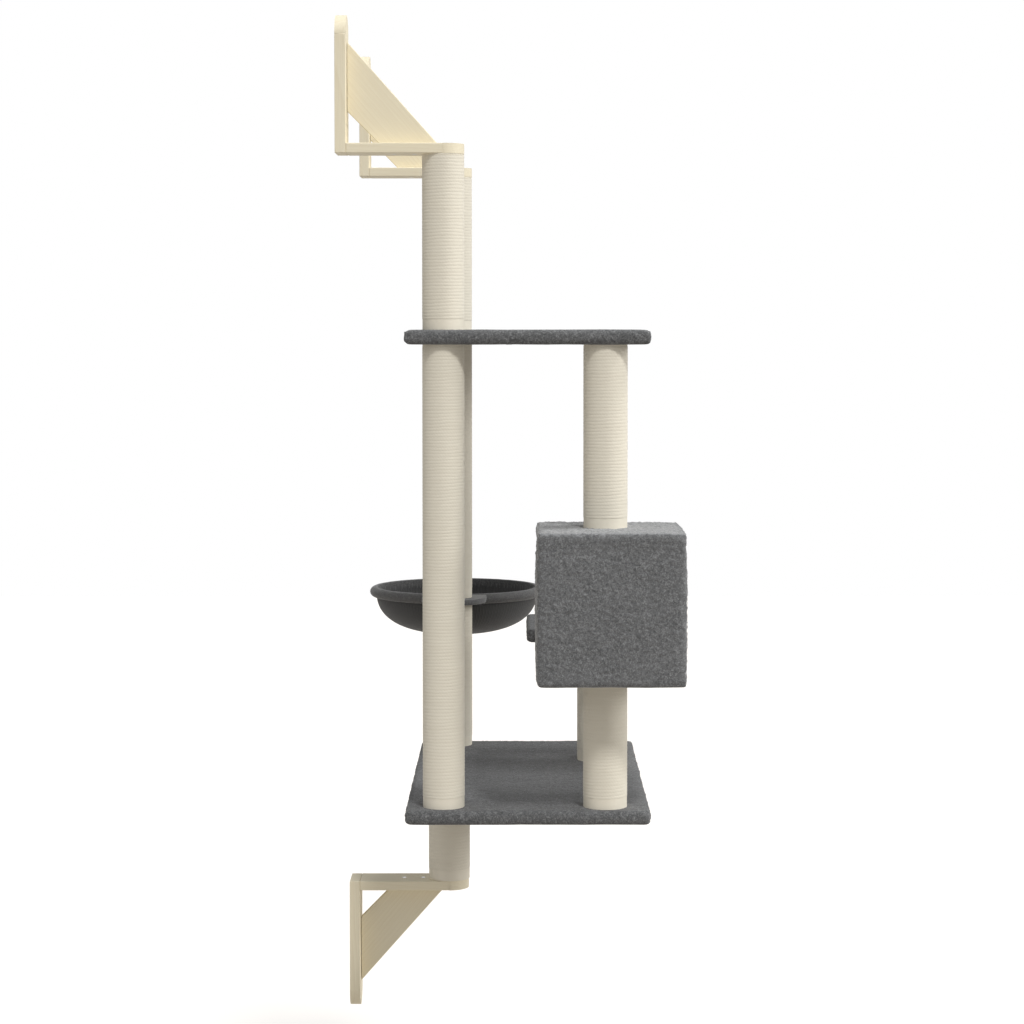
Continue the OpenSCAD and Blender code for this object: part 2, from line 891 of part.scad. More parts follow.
module condo_end_panel() {
    color("burlywood") condo_end(condo_end_y);
}

module condo_wall_side_panel() {
    color("burlywood") condo_side(condo_mid_x - condo_in_x / 2 + panel_t / 2);
}

module condo_room_side_panel() {
    color("burlywood") condo_side(condo_mid_x + condo_in_x / 2 - panel_t / 2);
}

module condo_cover() {
    color("dimgray")
        difference() {
            soft_box(condo_mid_x, -post_y, condo_z, [condo_x, condo_y, condo_h], edge_r);
            mid_box(
                condo_mid_x, -post_y, condo_z + plush_t,
                [condo_in_x, condo_in_y, condo_h - 2 * plush_t]
            );
            drill([[front_post_x, -post_y]], condo_z, condo_h, bolt_r + bolt_gap);
            entrance_cut(entrance_d / 2, condo_face_y - plush_t - over, condo_face_y + over);
        }
}

module condo_floor_mat() {
    color("gray")
        mid_box(
            condo_mid_x, -post_y, condo_inner_z,
            [
                condo_in_x - 2 * panel_t - 2 * mat_gap,
                condo_in_y - 2 * panel_t - 2 * mat_gap,
                mat_t
            ]
        );
}

module entrance_trim() {
    color("darkslategray") trim_ring();
}

module condo_screws() {
    color("silver") condo_screw_set(0);
}

module perch_board() {
    color("burlywood")
        difference() {
            mid_box(
                front_post_x, perch_post_y, perch_z + plush_t,
                [perch_x - 2 * plush_t, perch_y - 2 * plush_t, board_t]
            );
            drill([[front_post_x, perch_post_y]], perch_z, deck_t, bolt_r + bolt_gap);
            bolt_pockets(perch_z, perch_top);
        }
}

module perch_cover() {
    color("dimgray")
        difference() {
            soft_box(front_post_x, perch_post_y, perch_z, [perch_x, perch_y, deck_t], edge_r);
            mid_box(
                front_post_x, perch_post_y, perch_z + plush_t,
                [perch_x - 2 * plush_t, perch_y - 2 * plush_t, board_t]
            );
            drill([[front_post_x, perch_post_y]], perch_z, deck_t, bolt_r + bolt_gap);
            bolt_pockets(perch_z, perch_top);
        }
}

module holder_board() {
    color("burlywood")
        difference() {
            holder_outline(holder_skin);
            drill([[rear_post_x, post_y]], holder_z, holder_t, bolt_r + pin_gap);
            fork_screw_set(fit_gap);
        }
}

module holder_cover() {
    color("dimgray")
        difference() {
            holder_outline(0);
            holder_outline(holder_skin);
            drill([[rear_post_x, post_y]], holder_z, holder_t, bolt_r + bolt_gap);
            fork_screw_set(fit_gap);
        }
}

module holder_screws() {
    color("dimgray") fork_screw_set(0);
}

module bowl_fork() {
    color("slategray")
        difference() {
            fork_plate(0);
            translate([rear_post_x, post_y, holder_z - fork_t - over])
                cylinder(r = fork_in, h = fork_t + 2 * over);
            mid_box(
                rear_post_x, post_y - holder_r - fork_screw_d * 2, holder_z - fork_t - over,
                [2 * holder_r, 2 * holder_r, fork_t + 2 * over]
            );
            translate([bowl_x, bowl_y, holder_z - fork_t - over])
                cylinder(r = rim_r, h = fork_t + 2 * over);
            rim_solid(ring_rod_r);
            fork_screw_set(fit_gap);
        }
}

module bowl_ring() {
    color("slategray") rim_solid(ring_rod_r);
}

module bowl_rim() {
    color("dimgray")
        difference() {
            rim_solid(roll_r);
            rim_solid(ring_rod_r + fit_gap);
            fork_plate(fit_gap);
            translate([bowl_x, bowl_y, rim_z - roll_r - over])
                cylinder(r = basket_r - fabric_t, h = 2 * roll_r + 2 * over, $fn = 128);
        }
}

module bowl_basket() {
    color("darkslategray")
        difference() {
            basket_shell();
            rim_solid(roll_r);
        }
}

left_bracket_plate();
left_bracket_arm();
left_bracket_brace();
right_bracket_plate();
right_bracket_arm();
right_bracket_brace();
bottom_bracket_plate();
bottom_bracket_arm();
bottom_bracket_brace();
bracket_screws();
left_rear_upper_core();
right_rear_upper_core();
left_rear_lower_core();
right_rear_middle_core();
right_rear_lower_core();
left_front_upper_core();
left_front_lower_core();
perch_post_core();
bottom_post_core();
left_rear_upper_rope();
right_rear_upper_rope();
left_rear_lower_rope();
right_rear_middle_rope();
right_rear_lower_rope();
left_front_upper_rope();
left_front_lower_rope();
perch_post_rope();
bottom_post_rope();
post_end_caps();
threaded_inserts();
connecting_studs();
holder_stud();
post_bolts();
bolt_washers();
top_platform_board();
top_platform_cover();
top_platform_underlay();
bottom_platform_board();
bottom_platform_cover();
bottom_platform_underlay();
condo_floor();
condo_roof();
condo_entrance_panel();
condo_end_panel();
condo_wall_side_panel();
condo_room_side_panel();
condo_cover();
condo_floor_mat();
entrance_trim();
condo_screws();
perch_board();
perch_cover();
holder_board();
holder_cover();
holder_screws();
bowl_fork();
bowl_ring();
bowl_rim();
bowl_basket();
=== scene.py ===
# %% [markdown]
# A wall mounted cat tree. Three wooden brackets hold rope-wound posts, the posts
# hold two plush platforms, a hideaway box and a perch, and a soft bowl swings out
# from one post. The construction comes ready made, as a frame of CAD parts.
# These cells give it its looks: eased wooden edges, wound rope, stretched plush,
# gathered fabric, and a material for each.

# %% Load the frame
import math

import bmesh
import bpy
import numpy as np
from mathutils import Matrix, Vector, noise


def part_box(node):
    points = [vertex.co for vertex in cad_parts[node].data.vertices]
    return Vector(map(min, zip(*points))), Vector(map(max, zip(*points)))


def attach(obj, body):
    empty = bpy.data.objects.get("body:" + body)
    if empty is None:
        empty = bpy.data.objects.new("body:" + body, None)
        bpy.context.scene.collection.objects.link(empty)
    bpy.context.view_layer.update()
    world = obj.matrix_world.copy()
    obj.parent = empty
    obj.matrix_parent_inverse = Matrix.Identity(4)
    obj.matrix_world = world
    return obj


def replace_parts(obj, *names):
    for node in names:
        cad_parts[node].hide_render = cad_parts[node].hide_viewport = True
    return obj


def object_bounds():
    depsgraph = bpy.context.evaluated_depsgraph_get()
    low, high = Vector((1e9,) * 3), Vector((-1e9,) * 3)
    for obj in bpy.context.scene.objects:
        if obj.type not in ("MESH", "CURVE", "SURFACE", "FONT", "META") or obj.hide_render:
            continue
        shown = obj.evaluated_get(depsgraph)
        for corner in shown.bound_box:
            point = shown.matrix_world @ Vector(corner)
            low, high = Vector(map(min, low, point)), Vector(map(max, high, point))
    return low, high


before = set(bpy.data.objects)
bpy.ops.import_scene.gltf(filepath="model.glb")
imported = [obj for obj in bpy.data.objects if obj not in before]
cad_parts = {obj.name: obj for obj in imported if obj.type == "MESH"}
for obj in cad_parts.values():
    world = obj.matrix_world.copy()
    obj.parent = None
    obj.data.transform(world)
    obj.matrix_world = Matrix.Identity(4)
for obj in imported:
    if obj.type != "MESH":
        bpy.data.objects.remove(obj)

cad_low, cad_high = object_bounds()
print("CAD size", [round(size, 4) for size in cad_high - cad_low])

# %% [markdown]
# Edit mode tools work on whatever is selected, so each step below starts clean:
# object mode, nothing selected, one active object. Faces and edges are then picked
# in code by where they lie or which way they face, as a hand would with the mouse.

# %% Helpers to select and edit
MM = 0.001


def select_only(*pieces):
    """Leaves these pieces selected and the last one active, in object mode."""
    if bpy.context.object and bpy.context.object.mode != "OBJECT":
        bpy.ops.object.mode_set(mode="OBJECT")
    bpy.ops.object.select_all(action="DESELECT")
    for piece in pieces:
        piece.select_set(True)
        bpy.context.view_layer.objects.active = piece


def edit(piece):
    """Opens a piece in edit mode with everything selected."""
    select_only(piece)
    bpy.ops.object.mode_set(mode="EDIT")
    bpy.ops.mesh.select_all(action="SELECT")


def done():
    """Back to object mode."""
    bpy.ops.object.mode_set(mode="OBJECT")


def pick(piece, kind, test):
    """In edit mode, selects the VERTs, EDGEs or FACEs that pass the test."""
    bpy.ops.mesh.select_mode(type=kind)
    bpy.ops.mesh.select_all(action="DESELECT")
    shape = bmesh.from_edit_mesh(piece.data)
    shape.normal_update()
    parts = {"VERT": shape.verts, "EDGE": shape.edges, "FACE": shape.faces}[kind]
    chosen = [part for part in parts if test(part)]
    for part in chosen:
        part.select_set(True)
    shape.select_flush_mode()
    bmesh.update_edit_mesh(piece.data)
    return len(chosen)


# %% [markdown]
# A new piece gets its name, and its place, turn and size go into its mesh, so that
# every object stays at the origin as the CAD parts do. Modifiers are applied as
# soon as they are added. Where a shape follows a formula, its corners are moved
# all at once as rows of numbers.

# %% Helpers to finish a piece


def new_piece(name):
    """Names what the last primitive made and returns it."""
    piece = bpy.context.object
    piece.name = piece.data.name = name
    return piece


def settle(piece):
    """Puts a piece's place, turn and size into its mesh."""
    select_only(piece)
    bpy.ops.object.transform_apply(location=True, rotation=True, scale=True)
    return piece


def modify(piece, kind, **settings):
    """Adds a modifier and applies it at once."""
    select_only(piece)
    modifier = piece.modifiers.new(kind.title(), kind)
    for setting, value in settings.items():
        setattr(modifier, setting, value)
    bpy.ops.object.modifier_apply(modifier=modifier.name)


def join(name, pieces):
    """Joins pieces into one and gives it the name."""
    select_only(*pieces)
    if len(pieces) > 1:
        bpy.ops.object.join()
    return new_piece(name)


def corners_of(piece):
    """The vertices' places as an array of rows."""
    places = np.zeros(len(piece.data.vertices) * 3)
    piece.data.vertices.foreach_get("co", places)
    return places.reshape(-1, 3)


def move_corners(piece, places):
    """Puts the vertices in these places."""
    piece.data.vertices.foreach_set("co", places.ravel())
    piece.data.update()


def smooth(piece, sharp=None):
    """Shades smooth, but for edges sharper than so many degrees."""
    select_only(piece)
    if sharp is None:
        bpy.ops.object.shade_smooth()
    else:
        bpy.ops.object.shade_smooth_by_angle(angle=math.radians(sharp))


def report(piece):
    """Prints how many faces a finished piece has."""
    print(piece.name, len(piece.data.polygons), "faces")
    return piece


# %% [markdown]
# The product is seen from its left end, almost straight along the wall, from some
# five metres away: the far bracket shows just inside and below the near one. A
# long lens keeps the posts parallel, and a small shift keeps the picture's
# uprights upright while the camera looks a little down.

# %% Camera
LOOK_DOWN = math.radians(2.021)
LOOK_RIGHT = math.radians(0.171)

camera_data = bpy.data.cameras.new("camera")
camera = bpy.data.objects.new("camera", camera_data)
bpy.context.scene.collection.objects.link(camera)
bpy.context.scene.camera = camera
camera.location = (0.334, -4.9855, 1.1899)
camera.rotation_euler = (math.pi / 2 - LOOK_DOWN, 0, -LOOK_RIGHT)
camera_data.lens = 90.525
camera_data.sensor_width = 36
camera_data.shift_x = -0.0175
camera_data.shift_y = -0.089

# %% [markdown]
# The picture is a plain white studio. A dim dome fills the shadows. What the camera
# sees behind the object is white at strength 1, and the floor is white too, but it
# still takes the object's shadow.

# %% Studio
bpy.context.scene.view_settings.view_transform = "Standard"
FILL = 0.29
FLOOR_Z = cad_low.z - 0.45
FLOOR_SPAN = 24
FLOOR_COLOUR = (0.47, 0.44, 0.405, 1)
FLOOR_GLOW = 0.62
WHITE = (1, 1, 1, 1)


def link_nodes(tree, kind, sockets=None, **settings):
    """Adds a shader node, sets its options and fills its sockets with values or links."""
    made = tree.nodes.new("ShaderNode" + kind)
    for setting, value in settings.items():
        setattr(made, setting, value)
    for socket, value in (sockets or {}).items():
        if isinstance(value, bpy.types.NodeSocket):
            tree.links.new(value, made.inputs[socket])
        else:
            made.inputs[socket].default_value = value
    return made


def seen_directly(tree):
    """1 where the camera looks, straight or through a reflection, and 0 for other light."""
    path = link_nodes(tree, "LightPath")
    glossy = link_nodes(tree, "Math", {
        0: path.outputs["Is Camera Ray"], 1: path.outputs["Is Glossy Ray"]},
        operation="MAXIMUM")
    return link_nodes(tree, "Math", {
        0: glossy.outputs[0], 1: path.outputs["Is Transmission Ray"]},
        operation="MAXIMUM").outputs[0]


world = bpy.data.worlds.new("studio")
bpy.context.scene.world = world
world.use_nodes = True
sky = world.node_tree
sky.nodes.clear()
dome = link_nodes(sky, "Background", {"Color": WHITE, "Strength": FILL})
white = link_nodes(sky, "Background", {"Color": WHITE, "Strength": 1.0})
backdrop = link_nodes(sky, "MixShader", {
    0: seen_directly(sky), 1: dome.outputs[0], 2: white.outputs[0]})
link_nodes(sky, "OutputWorld", {"Surface": backdrop.outputs[0]})

bpy.ops.mesh.primitive_plane_add(size=FLOOR_SPAN, location=(0, 0, FLOOR_Z))
floor = new_piece("floor")
settle(floor)
floor_material = bpy.data.materials.new("white_floor")
floor_material.use_nodes = True
ground = floor_material.node_tree
ground.nodes.clear()
matt = link_nodes(ground, "BsdfDiffuse", {"Color": FLOOR_COLOUR})
lift = link_nodes(ground, "Emission", {"Color": WHITE, "Strength": FLOOR_GLOW})
lit = link_nodes(ground, "AddShader", {0: matt.outputs[0], 1: lift.outputs[0]})
plain = link_nodes(ground, "MixShader", {
    0: seen_directly(ground), 1: matt.outputs[0], 2: lit.outputs[0]})
link_nodes(ground, "OutputMaterial", {"Surface": plain.outputs[0]})
floor.data.materials.append(floor_material)

# %% [markdown]
# Four suns light the object. The main one stands high behind the camera and is
# fairly sharp: it draws the round shadows under the platforms. A softer one from
# the right lights the posts' right flanks, and two more from above and from the
# left lift the tops and the other flanks. A sun's light is the same all over, so a
# tall object isn't brighter at its head.

# %% Suns


def sun(name, azimuth, elevation, softness, strength):
    """A soft sun; azimuth 0 stands behind the camera, and 90 on the right."""
    data = bpy.data.lights.new(name, "SUN")
    data.angle = math.radians(softness)
    data.energy = strength
    made = bpy.data.objects.new(name, data)
    bpy.context.scene.collection.objects.link(made)
    side, up = math.radians(azimuth), math.radians(elevation)
    towards = Vector((math.sin(side) * math.cos(up), -math.cos(side) * math.cos(up), math.sin(up)))
    made.rotation_euler = towards.to_track_quat("Z", "Y").to_euler()


sun("key", 24, 51, 9, 1.7)
sun("side", 90, 20, 25, 1.1)
sun("overhead", 85, 66, 20, 0.9)
sun("left", -45, 40, 60, 0.3)

# %% [markdown]
# Every finish starts from the same shader, with a pattern on the object's own
# coordinates, in metres. A mapping node turns or centres the pattern on a piece.

# %% Helpers for materials


def finish(name, rough, metal=0.0, sheen=0.0):
    """A new material, its node tree, its shader and the object's coordinates."""
    material = bpy.data.materials.new(name)
    material.use_nodes = True
    tree = material.node_tree
    shader = tree.nodes["Principled BSDF"]
    shader.inputs["Roughness"].default_value = rough
    shader.inputs["Metallic"].default_value = metal
    shader.inputs["Sheen Weight"].default_value = sheen
    place = link_nodes(tree, "TexCoord").outputs["Object"]
    return material, tree, shader, place


def mapped(tree, place, **how):
    """The coordinates after a move, a turn and a stretch."""
    sockets = {"Vector": place}
    sockets.update({word.title(): value for word, value in how.items()})
    return link_nodes(tree, "Mapping", sockets).outputs[0]


def noise_of(tree, place, scale, detail=2.0, rough=0.5, warp=0.0):
    """A cloudy pattern between 0 and 1, with so many waves to the metre."""
    return link_nodes(tree, "TexNoise", {
        "Vector": place, "Scale": scale, "Detail": detail, "Roughness": rough,
        "Distortion": warp}).outputs["Fac"]


def ramp(tree, value, stops):
    """A colour ramp: pairs of a position and a grey level or a colour."""
    made = link_nodes(tree, "ValToRGB", {"Fac": value})
    elements = made.color_ramp.elements
    while len(elements) < len(stops):
        elements.new(0.5)
    for element, (position, colour) in zip(elements, stops):
        grey = isinstance(colour, (int, float))
        element.position = position
        element.color = (colour,) * 3 + (1,) if grey else tuple(colour) + (1,)
    return made.outputs["Color"]


def mix(tree, share, first, second):
    """Blends two colours; a share of 1 is all of the second."""
    made = link_nodes(tree, "Mix", data_type="RGBA")
    for socket, value in ((0, share), (6, first), (7, second)):
        if isinstance(value, bpy.types.NodeSocket):
            tree.links.new(value, made.inputs[socket])
        elif socket == 0:
            made.inputs[0].default_value = value
        else:
            made.inputs[socket].default_value = tuple(value) + (1,)
    return made.outputs[2]


def maths(tree, operation, first, second=0.0, third=0.0):
    """One sum on numbers or on links."""
    made = link_nodes(tree, "Math", operation=operation)
    for socket, value in enumerate((first, second, third)):
        if isinstance(value, bpy.types.NodeSocket):
            tree.links.new(value, made.inputs[socket])
        else:
            made.inputs[socket].default_value = value
    return made.outputs[0]


def bump(tree, shader, height, depth, strength=1.0):
    """Dents the surface by a height between 0 and 1 times the depth."""
    made = link_nodes(tree, "Bump", {
        "Height": height, "Distance": depth, "Strength": strength})
    tree.links.new(made.outputs[0], shader.inputs["Normal"])


# %% [markdown]
# The brackets are sawn and sanded birch. A plain-sawn board shows the growth rings
# of a trunk that tapers, so the rings are drawn as long cones round an axis that
# lies a little behind the board: where the board's face cuts them they make the
# tall arcs of real timber. Fine fibres run along the grain on top of them.

# %% Birch
PALE_BIRCH = (0.865, 0.79, 0.60)
LATE_BIRCH = (0.80, 0.705, 0.505)
FIBRE_BROWN = (0.66, 0.565, 0.395)
RING_GAP = 7 * MM
# How much a ring widens down the trunk, and how far it wavers
TRUNK_TAPER = 0.05
RING_WAVER = 30 * MM


def birch(name, turn, heart):
    """Birch whose grain runs along X turned by so much round Y; heart is the trunk's middle."""
    material, tree, shader, place = finish(name, 0.62)
    along = mapped(tree, place, rotation=(0, turn, 0))
    trunk = mapped(tree, along, location=heart)
    split = link_nodes(tree, "SeparateXYZ", {0: trunk}).outputs
    waver = noise_of(tree, mapped(tree, along, scale=(2.0, 9.0, 9.0)), 1.0, 2.0)
    across = maths(tree, "POWER", split[1], 2.0)
    behind = maths(tree, "POWER", split[2], 2.0)
    radius = maths(tree, "SQRT", maths(tree, "ADD", across, behind))
    cone = maths(tree, "MULTIPLY_ADD", split[0], TRUNK_TAPER, radius)
    ring = maths(tree, "MULTIPLY_ADD", waver, RING_WAVER, cone)
    phase = maths(tree, "FRACT", maths(tree, "DIVIDE", ring, RING_GAP))
    bands = ramp(tree, phase, [(0.0, 0.0), (0.72, 0.35), (0.9, 1.0), (1.0, 0.0)])
    fibre = noise_of(tree, mapped(tree, along, scale=(14.0, 420.0, 420.0)), 1.0, 3.0, 0.6)
    tone = noise_of(tree, mapped(tree, along, scale=(5.0, 16.0, 16.0)), 1.0, 1.0)
    share = maths(tree, "MULTIPLY", bands, ramp(tree, tone, [(0.3, 0.15), (0.75, 0.85)]))
    ringed = mix(tree, share, PALE_BIRCH, LATE_BIRCH)
    grained = mix(tree, ramp(tree, fibre, [(0.35, 0.16), (0.65, 0.0)]), ringed, FIBRE_BROWN)
    tree.links.new(grained, shader.inputs["Base Color"])
    bump(tree, shader, fibre, 0.25 * MM, 0.6)
    return material


# %% [markdown]
# The rope is a soft three-strand cotton rope. Its turns are modelled; its strands
# are too fine for that, so slanted ridges run round each post: a number of them to
# the turn, and one more for each few millimetres of height, which makes them climb
# across every turn the way laid strands do.

# %% Rope
COTTON = (0.81, 0.76, 0.64)
SOILED_COTTON = (0.70, 0.64, 0.52)
STRAND_PAINTED_SHADE = (0.60, 0.53, 0.41)
STRAND = 5.4 * MM
STRAND_RISE = 7.5 * MM


def rope_finish(name, axis, radius):
    """Rope wound round an upright axis at a radius."""
    material, tree, shader, place = finish(name, 0.92, sheen=0.15)
    local = mapped(tree, place, location=(-axis[0], -axis[1], 0))
    split = link_nodes(tree, "SeparateXYZ", {0: local}).outputs
    turn = maths(tree, "ARCTAN2", split[1], split[0])
    count = round(2 * math.pi * radius / STRAND)
    phase = maths(tree, "MULTIPLY_ADD", turn, count, maths(
        tree, "MULTIPLY", split[2], 2 * math.pi / STRAND_RISE))
    ridge = maths(tree, "MULTIPLY_ADD", maths(tree, "SINE", phase), 0.5, 0.5)
    lint = noise_of(tree, place, 900.0, 2.0, 0.6)
    soil = noise_of(tree, mapped(tree, local, scale=(7.0, 7.0, 130.0)), 1.0, 2.0)
    tone = mix(tree, ramp(tree, soil, [(0.35, 0.14), (0.65, 0.0)]), COTTON, SOILED_COTTON)
    # The troughs between the strand ridges are darkened a little towards a darker brown: painted
    # shade in the grooves.
    dark = ramp(tree, ridge, [(0.0, 0.04), (0.5, 0.0)])
    tree.links.new(mix(tree, dark, tone, STRAND_PAINTED_SHADE), shader.inputs["Base Color"])
    height = maths(tree, "MULTIPLY_ADD", ridge, 0.7, maths(tree, "MULTIPLY", lint, 0.3))
    bump(tree, shader, height, 0.14 * MM, 0.5)
    return material


# %% [markdown]
# Hard parts: cream moulded caps at the post ends, brown cardboard tubes inside the
# rope, zinc plated fasteners, chipboard panels and the black painted steel that
# carries the bowl. Each has the small unevenness that its making leaves.

# %% Hard finishes
# How far the roughness strays from its middle
GLOSS_SPREAD = 0.06


def speckled(name, colour, other, scale, rough, metal=0.0, depth=0.1 * MM):
    """Two shades of one colour in grains of a size, with a fine bump."""
    material, tree, shader, place = finish(name, rough, metal)
    grain = noise_of(tree, place, scale, detail=3.0, rough=0.6)
    shade = ramp(tree, grain, [(0.35, colour), (0.65, other)])
    tree.links.new(shade, shader.inputs["Base Color"])
    tree.links.new(
        ramp(tree, grain, [(0.3, rough - GLOSS_SPREAD), (0.7, rough + GLOSS_SPREAD)]),
        shader.inputs["Roughness"])
    bump(tree, shader, grain, depth)
    return material


cap_cream = speckled("cap_cream", (0.82, 0.765, 0.64), (0.84, 0.785, 0.66), 60.0, 0.75)
cardboard = speckled("cardboard", (0.34, 0.24, 0.14), (0.43, 0.31, 0.19), 420.0, 0.9)
zinc = speckled("zinc_plate", (0.56, 0.57, 0.58), (0.66, 0.67, 0.68), 900.0, 0.34, 1.0, 0.02 * MM)
black_steel = speckled(
    "black_paint", (0.020, 0.020, 0.021), (0.030, 0.030, 0.031), 1500.0, 0.38, 0.0, 0.03 * MM)


def chipboard_finish():
    """Pressed wood flakes of a few millimetres in several browns."""
    material, tree, shader, place = finish("chipboard", 0.82)
    flakes = link_nodes(tree, "TexVoronoi", {"Vector": place, "Scale": 330.0})
    lot = link_nodes(tree, "SeparateColor", {0: flakes.outputs["Color"]}).outputs[0]
    brown = ramp(tree, lot, [
        (0.0, (0.38, 0.26, 0.14)), (0.5, (0.55, 0.40, 0.24)), (1.0, (0.68, 0.53, 0.34))])
    tree.links.new(brown, shader.inputs["Base Color"])
    bump(tree, shader, flakes.outputs["Distance"], 0.2 * MM, 0.7)
    return material


chipboard = chipboard_finish()

# %% [markdown]
# The plush is a short curly pile in dark grey. Seen from a step away it is a field
# of worm-like light curls with dark gaps, each a few millimetres long. Two warped
# noises make the curls; the same pattern gives the colour and the relief, so that
# the light tips also stand proud and the gaps are painted shade. A sheen brightens
# the pile of the hideaway at flat angles, and its level roof gets a painted
# highlight, the tips' colour lifted for the light from above. The platforms' pile
# is darker, partly its own colour and partly painted shade, and has hardly any
# sheen. The felt and the bowl's fleece are the same pattern with finer curls.

# %% Plush
# How much of the pattern is broad curls; the rest is fine flecks
CURL_SHARE = 0.52
SHEEN_ROUGHNESS = 0.35
# How much the tip colour is lifted for the painted highlight on level parts
PAINTED_ROOF_HIGHLIGHT = 1.45


def plush_finish(name, gap, body, tip, curl, sheen, depth=1.6 * MM, roof=0.0):
    """Curly pile in three shades, the darkest a painted shade in its gaps; roof is how much
    painted highlight its level parts get.
    """
    material, tree, shader, place = finish(name, 0.95, sheen=sheen)
    shader.inputs["Sheen Roughness"].default_value = SHEEN_ROUGHNESS
    curls = noise_of(tree, place, 0.62 / curl, 2.5, 0.62, 1.6)
    fleck = noise_of(tree, place, 1.9 / curl, 2.0, 0.6, 0.8)
    pile = maths(tree, "MULTIPLY_ADD", curls, CURL_SHARE,
                 maths(tree, "MULTIPLY", fleck, 1 - CURL_SHARE))
    lie = noise_of(tree, place, 14.0, 2.0)
    # The darkest shade, the gap, sits where the pattern is low: painted shade in the hollows
    # between the curls.
    curly = ramp(tree, pile, [(0.33, gap), (0.5, body), (0.67, tip)])
    worn = mix(tree, ramp(tree, lie, [(0.35, 0.0), (0.7, 0.10)]), curly, tip)
    # Parts that face up get a painted highlight: the tips' colour, lifted, stands for the light
    # from above.
    facing = link_nodes(tree, "NewGeometry").outputs["Normal"]
    upward = link_nodes(tree, "SeparateXYZ", {0: facing}).outputs[2]
    level = maths(tree, "MULTIPLY", ramp(tree, upward, [(0.55, 0.0), (0.95, 1.0)]), roof)
    painted_highlight_tip = tuple(PAINTED_ROOF_HIGHLIGHT * shade for shade in tip)
    tree.links.new(mix(tree, level, worn, painted_highlight_tip), shader.inputs["Base Color"])
    bump(tree, shader, pile, depth, 0.8)
    return material


plush = plush_finish(
    "grey_plush", (0.070, 0.072, 0.074), (0.137, 0.140, 0.143), (0.28, 0.285, 0.29),
    4.4 * MM, 0.8, roof=0.42)
# The platforms' plush is darker than the hideaway's, partly its own colour and partly painted
# shade for the shade that falls on the platforms.
deck_plush = plush_finish(
    "deck_plush_painted_shade", (0.054, 0.055, 0.056), (0.108, 0.110, 0.112), (0.24, 0.243, 0.246),
    4.8 * MM, 0.1)
fleece = plush_finish(
    "rim_fleece", (0.064,) * 3, (0.106,) * 3, (0.18,) * 3, 2.6 * MM, 0.3, 0.7 * MM)
felt = plush_finish(
    "underlay_felt", (0.10,) * 3, (0.15,) * 3, (0.22,) * 3, 2.0 * MM, 0.1, 0.3 * MM)
holder_cloth = plush_finish(
    "holder_fleece", (0.096,) * 3, (0.15,) * 3, (0.23,) * 3, 2.4 * MM, 0.2, 0.5 * MM)

# %% [markdown]
# The bowl hangs from its rim in dark knitted fleece. Fine ribs run down from the
# rim to the middle, so the pattern follows the angle round the bowl's own axis.

# %% Bowl fabric
RIBS = 150


def bowl_finish(axis):
    """Dark knit with fine ribs down the bowl."""
    material, tree, shader, place = finish("bowl_knit", 0.9, sheen=0.15)
    local = mapped(tree, place, location=(-axis[0], -axis[1], 0))
    split = link_nodes(tree, "SeparateXYZ", {0: local}).outputs
    turn = maths(tree, "ARCTAN2", split[1], split[0])
    rib = maths(tree, "MULTIPLY_ADD", maths(
        tree, "SINE", maths(tree, "MULTIPLY", turn, RIBS * 2)), 0.5, 0.5)
    knit = noise_of(tree, place, 700.0, 2.0, 0.6)
    height = maths(tree, "MULTIPLY_ADD", rib, 0.4, maths(tree, "MULTIPLY", knit, 0.6))
    # The colour follows the height of the ribs and the knit, darker where they are low: painted
    # shade in their hollows.
    shade = ramp(tree, height, [(0.2, 0.036), (0.5, 0.05), (0.8, 0.072)])
    tree.links.new(shade, shader.inputs["Base Color"])
    bump(tree, shader, height, 0.5 * MM, 0.7)
    return material


# %% [markdown]
# The bracket boards are right in the CAD, but real boards have eased edges, and the
# dark lines where two boards meet come from them. So each board is a copy of its
# CAD mesh: doubles are merged, flat facets dissolved, and then only the long outer
# edges are bevelled, because the short ones belong to the screw holes. A brace's
# sawn end is drawn back from its plate by a hair, which gives the joint its line.

# %% Bracket boards
EASE = 1.6 * MM
SHORTEST_OUTER_EDGE = 2.9 * MM
PLATE_FACE = 20 * MM
JOINT_GAP = 0.9 * MM
# Corners of the CAD triangles that lie closer than this are one corner
WELD = 0.002 * MM


def copy_of(node, name):
    """A clean copy of a CAD node's mesh that can be edited."""
    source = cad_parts[node].data.copy()
    source.materials.clear()
    piece = bpy.data.objects.new(name, source)
    bpy.context.scene.collection.objects.link(piece)
    edit(piece)
    bpy.ops.mesh.customdata_custom_splitnormals_clear()
    bpy.ops.mesh.remove_doubles(threshold=WELD)
    bpy.ops.mesh.dissolve_limited(angle_limit=math.radians(0.4))
    done()
    piece.name = piece.data.name = name
    return piece


def dress(piece, material, body="tree"):
    """Gives a finished piece its material and the body it rides on."""
    piece.data.materials.clear()
    piece.data.materials.append(material)
    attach(piece, body)
    return report(piece)


def eased(node, name, test, ease=EASE, gap=0.0):
    """A copy of a node with the sharp edges that pass the test rounded over."""
    piece = copy_of(node, name)
    edit(piece)
    if gap:
        pick(piece, "VERT", lambda v: abs(v.co.x - PLATE_FACE) < 0.05 * MM)
        bpy.ops.transform.translate(value=(gap, 0, 0))
    pick(piece, "EDGE", lambda e: len(e.link_faces) == 2
         and e.calc_face_angle() > math.radians(40) and test(e))
    bpy.ops.mesh.bevel(offset=ease, segments=3, affect="EDGES")
    done()
    smooth(piece, 35)
    modify(piece, "WEIGHTED_NORMAL", keep_sharp=True)
    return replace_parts(piece, node)


def long_edge(edge):
    """True for a board's outer edges and false for those of its holes."""
    return edge.calc_length() > SHORTEST_OUTER_EDGE


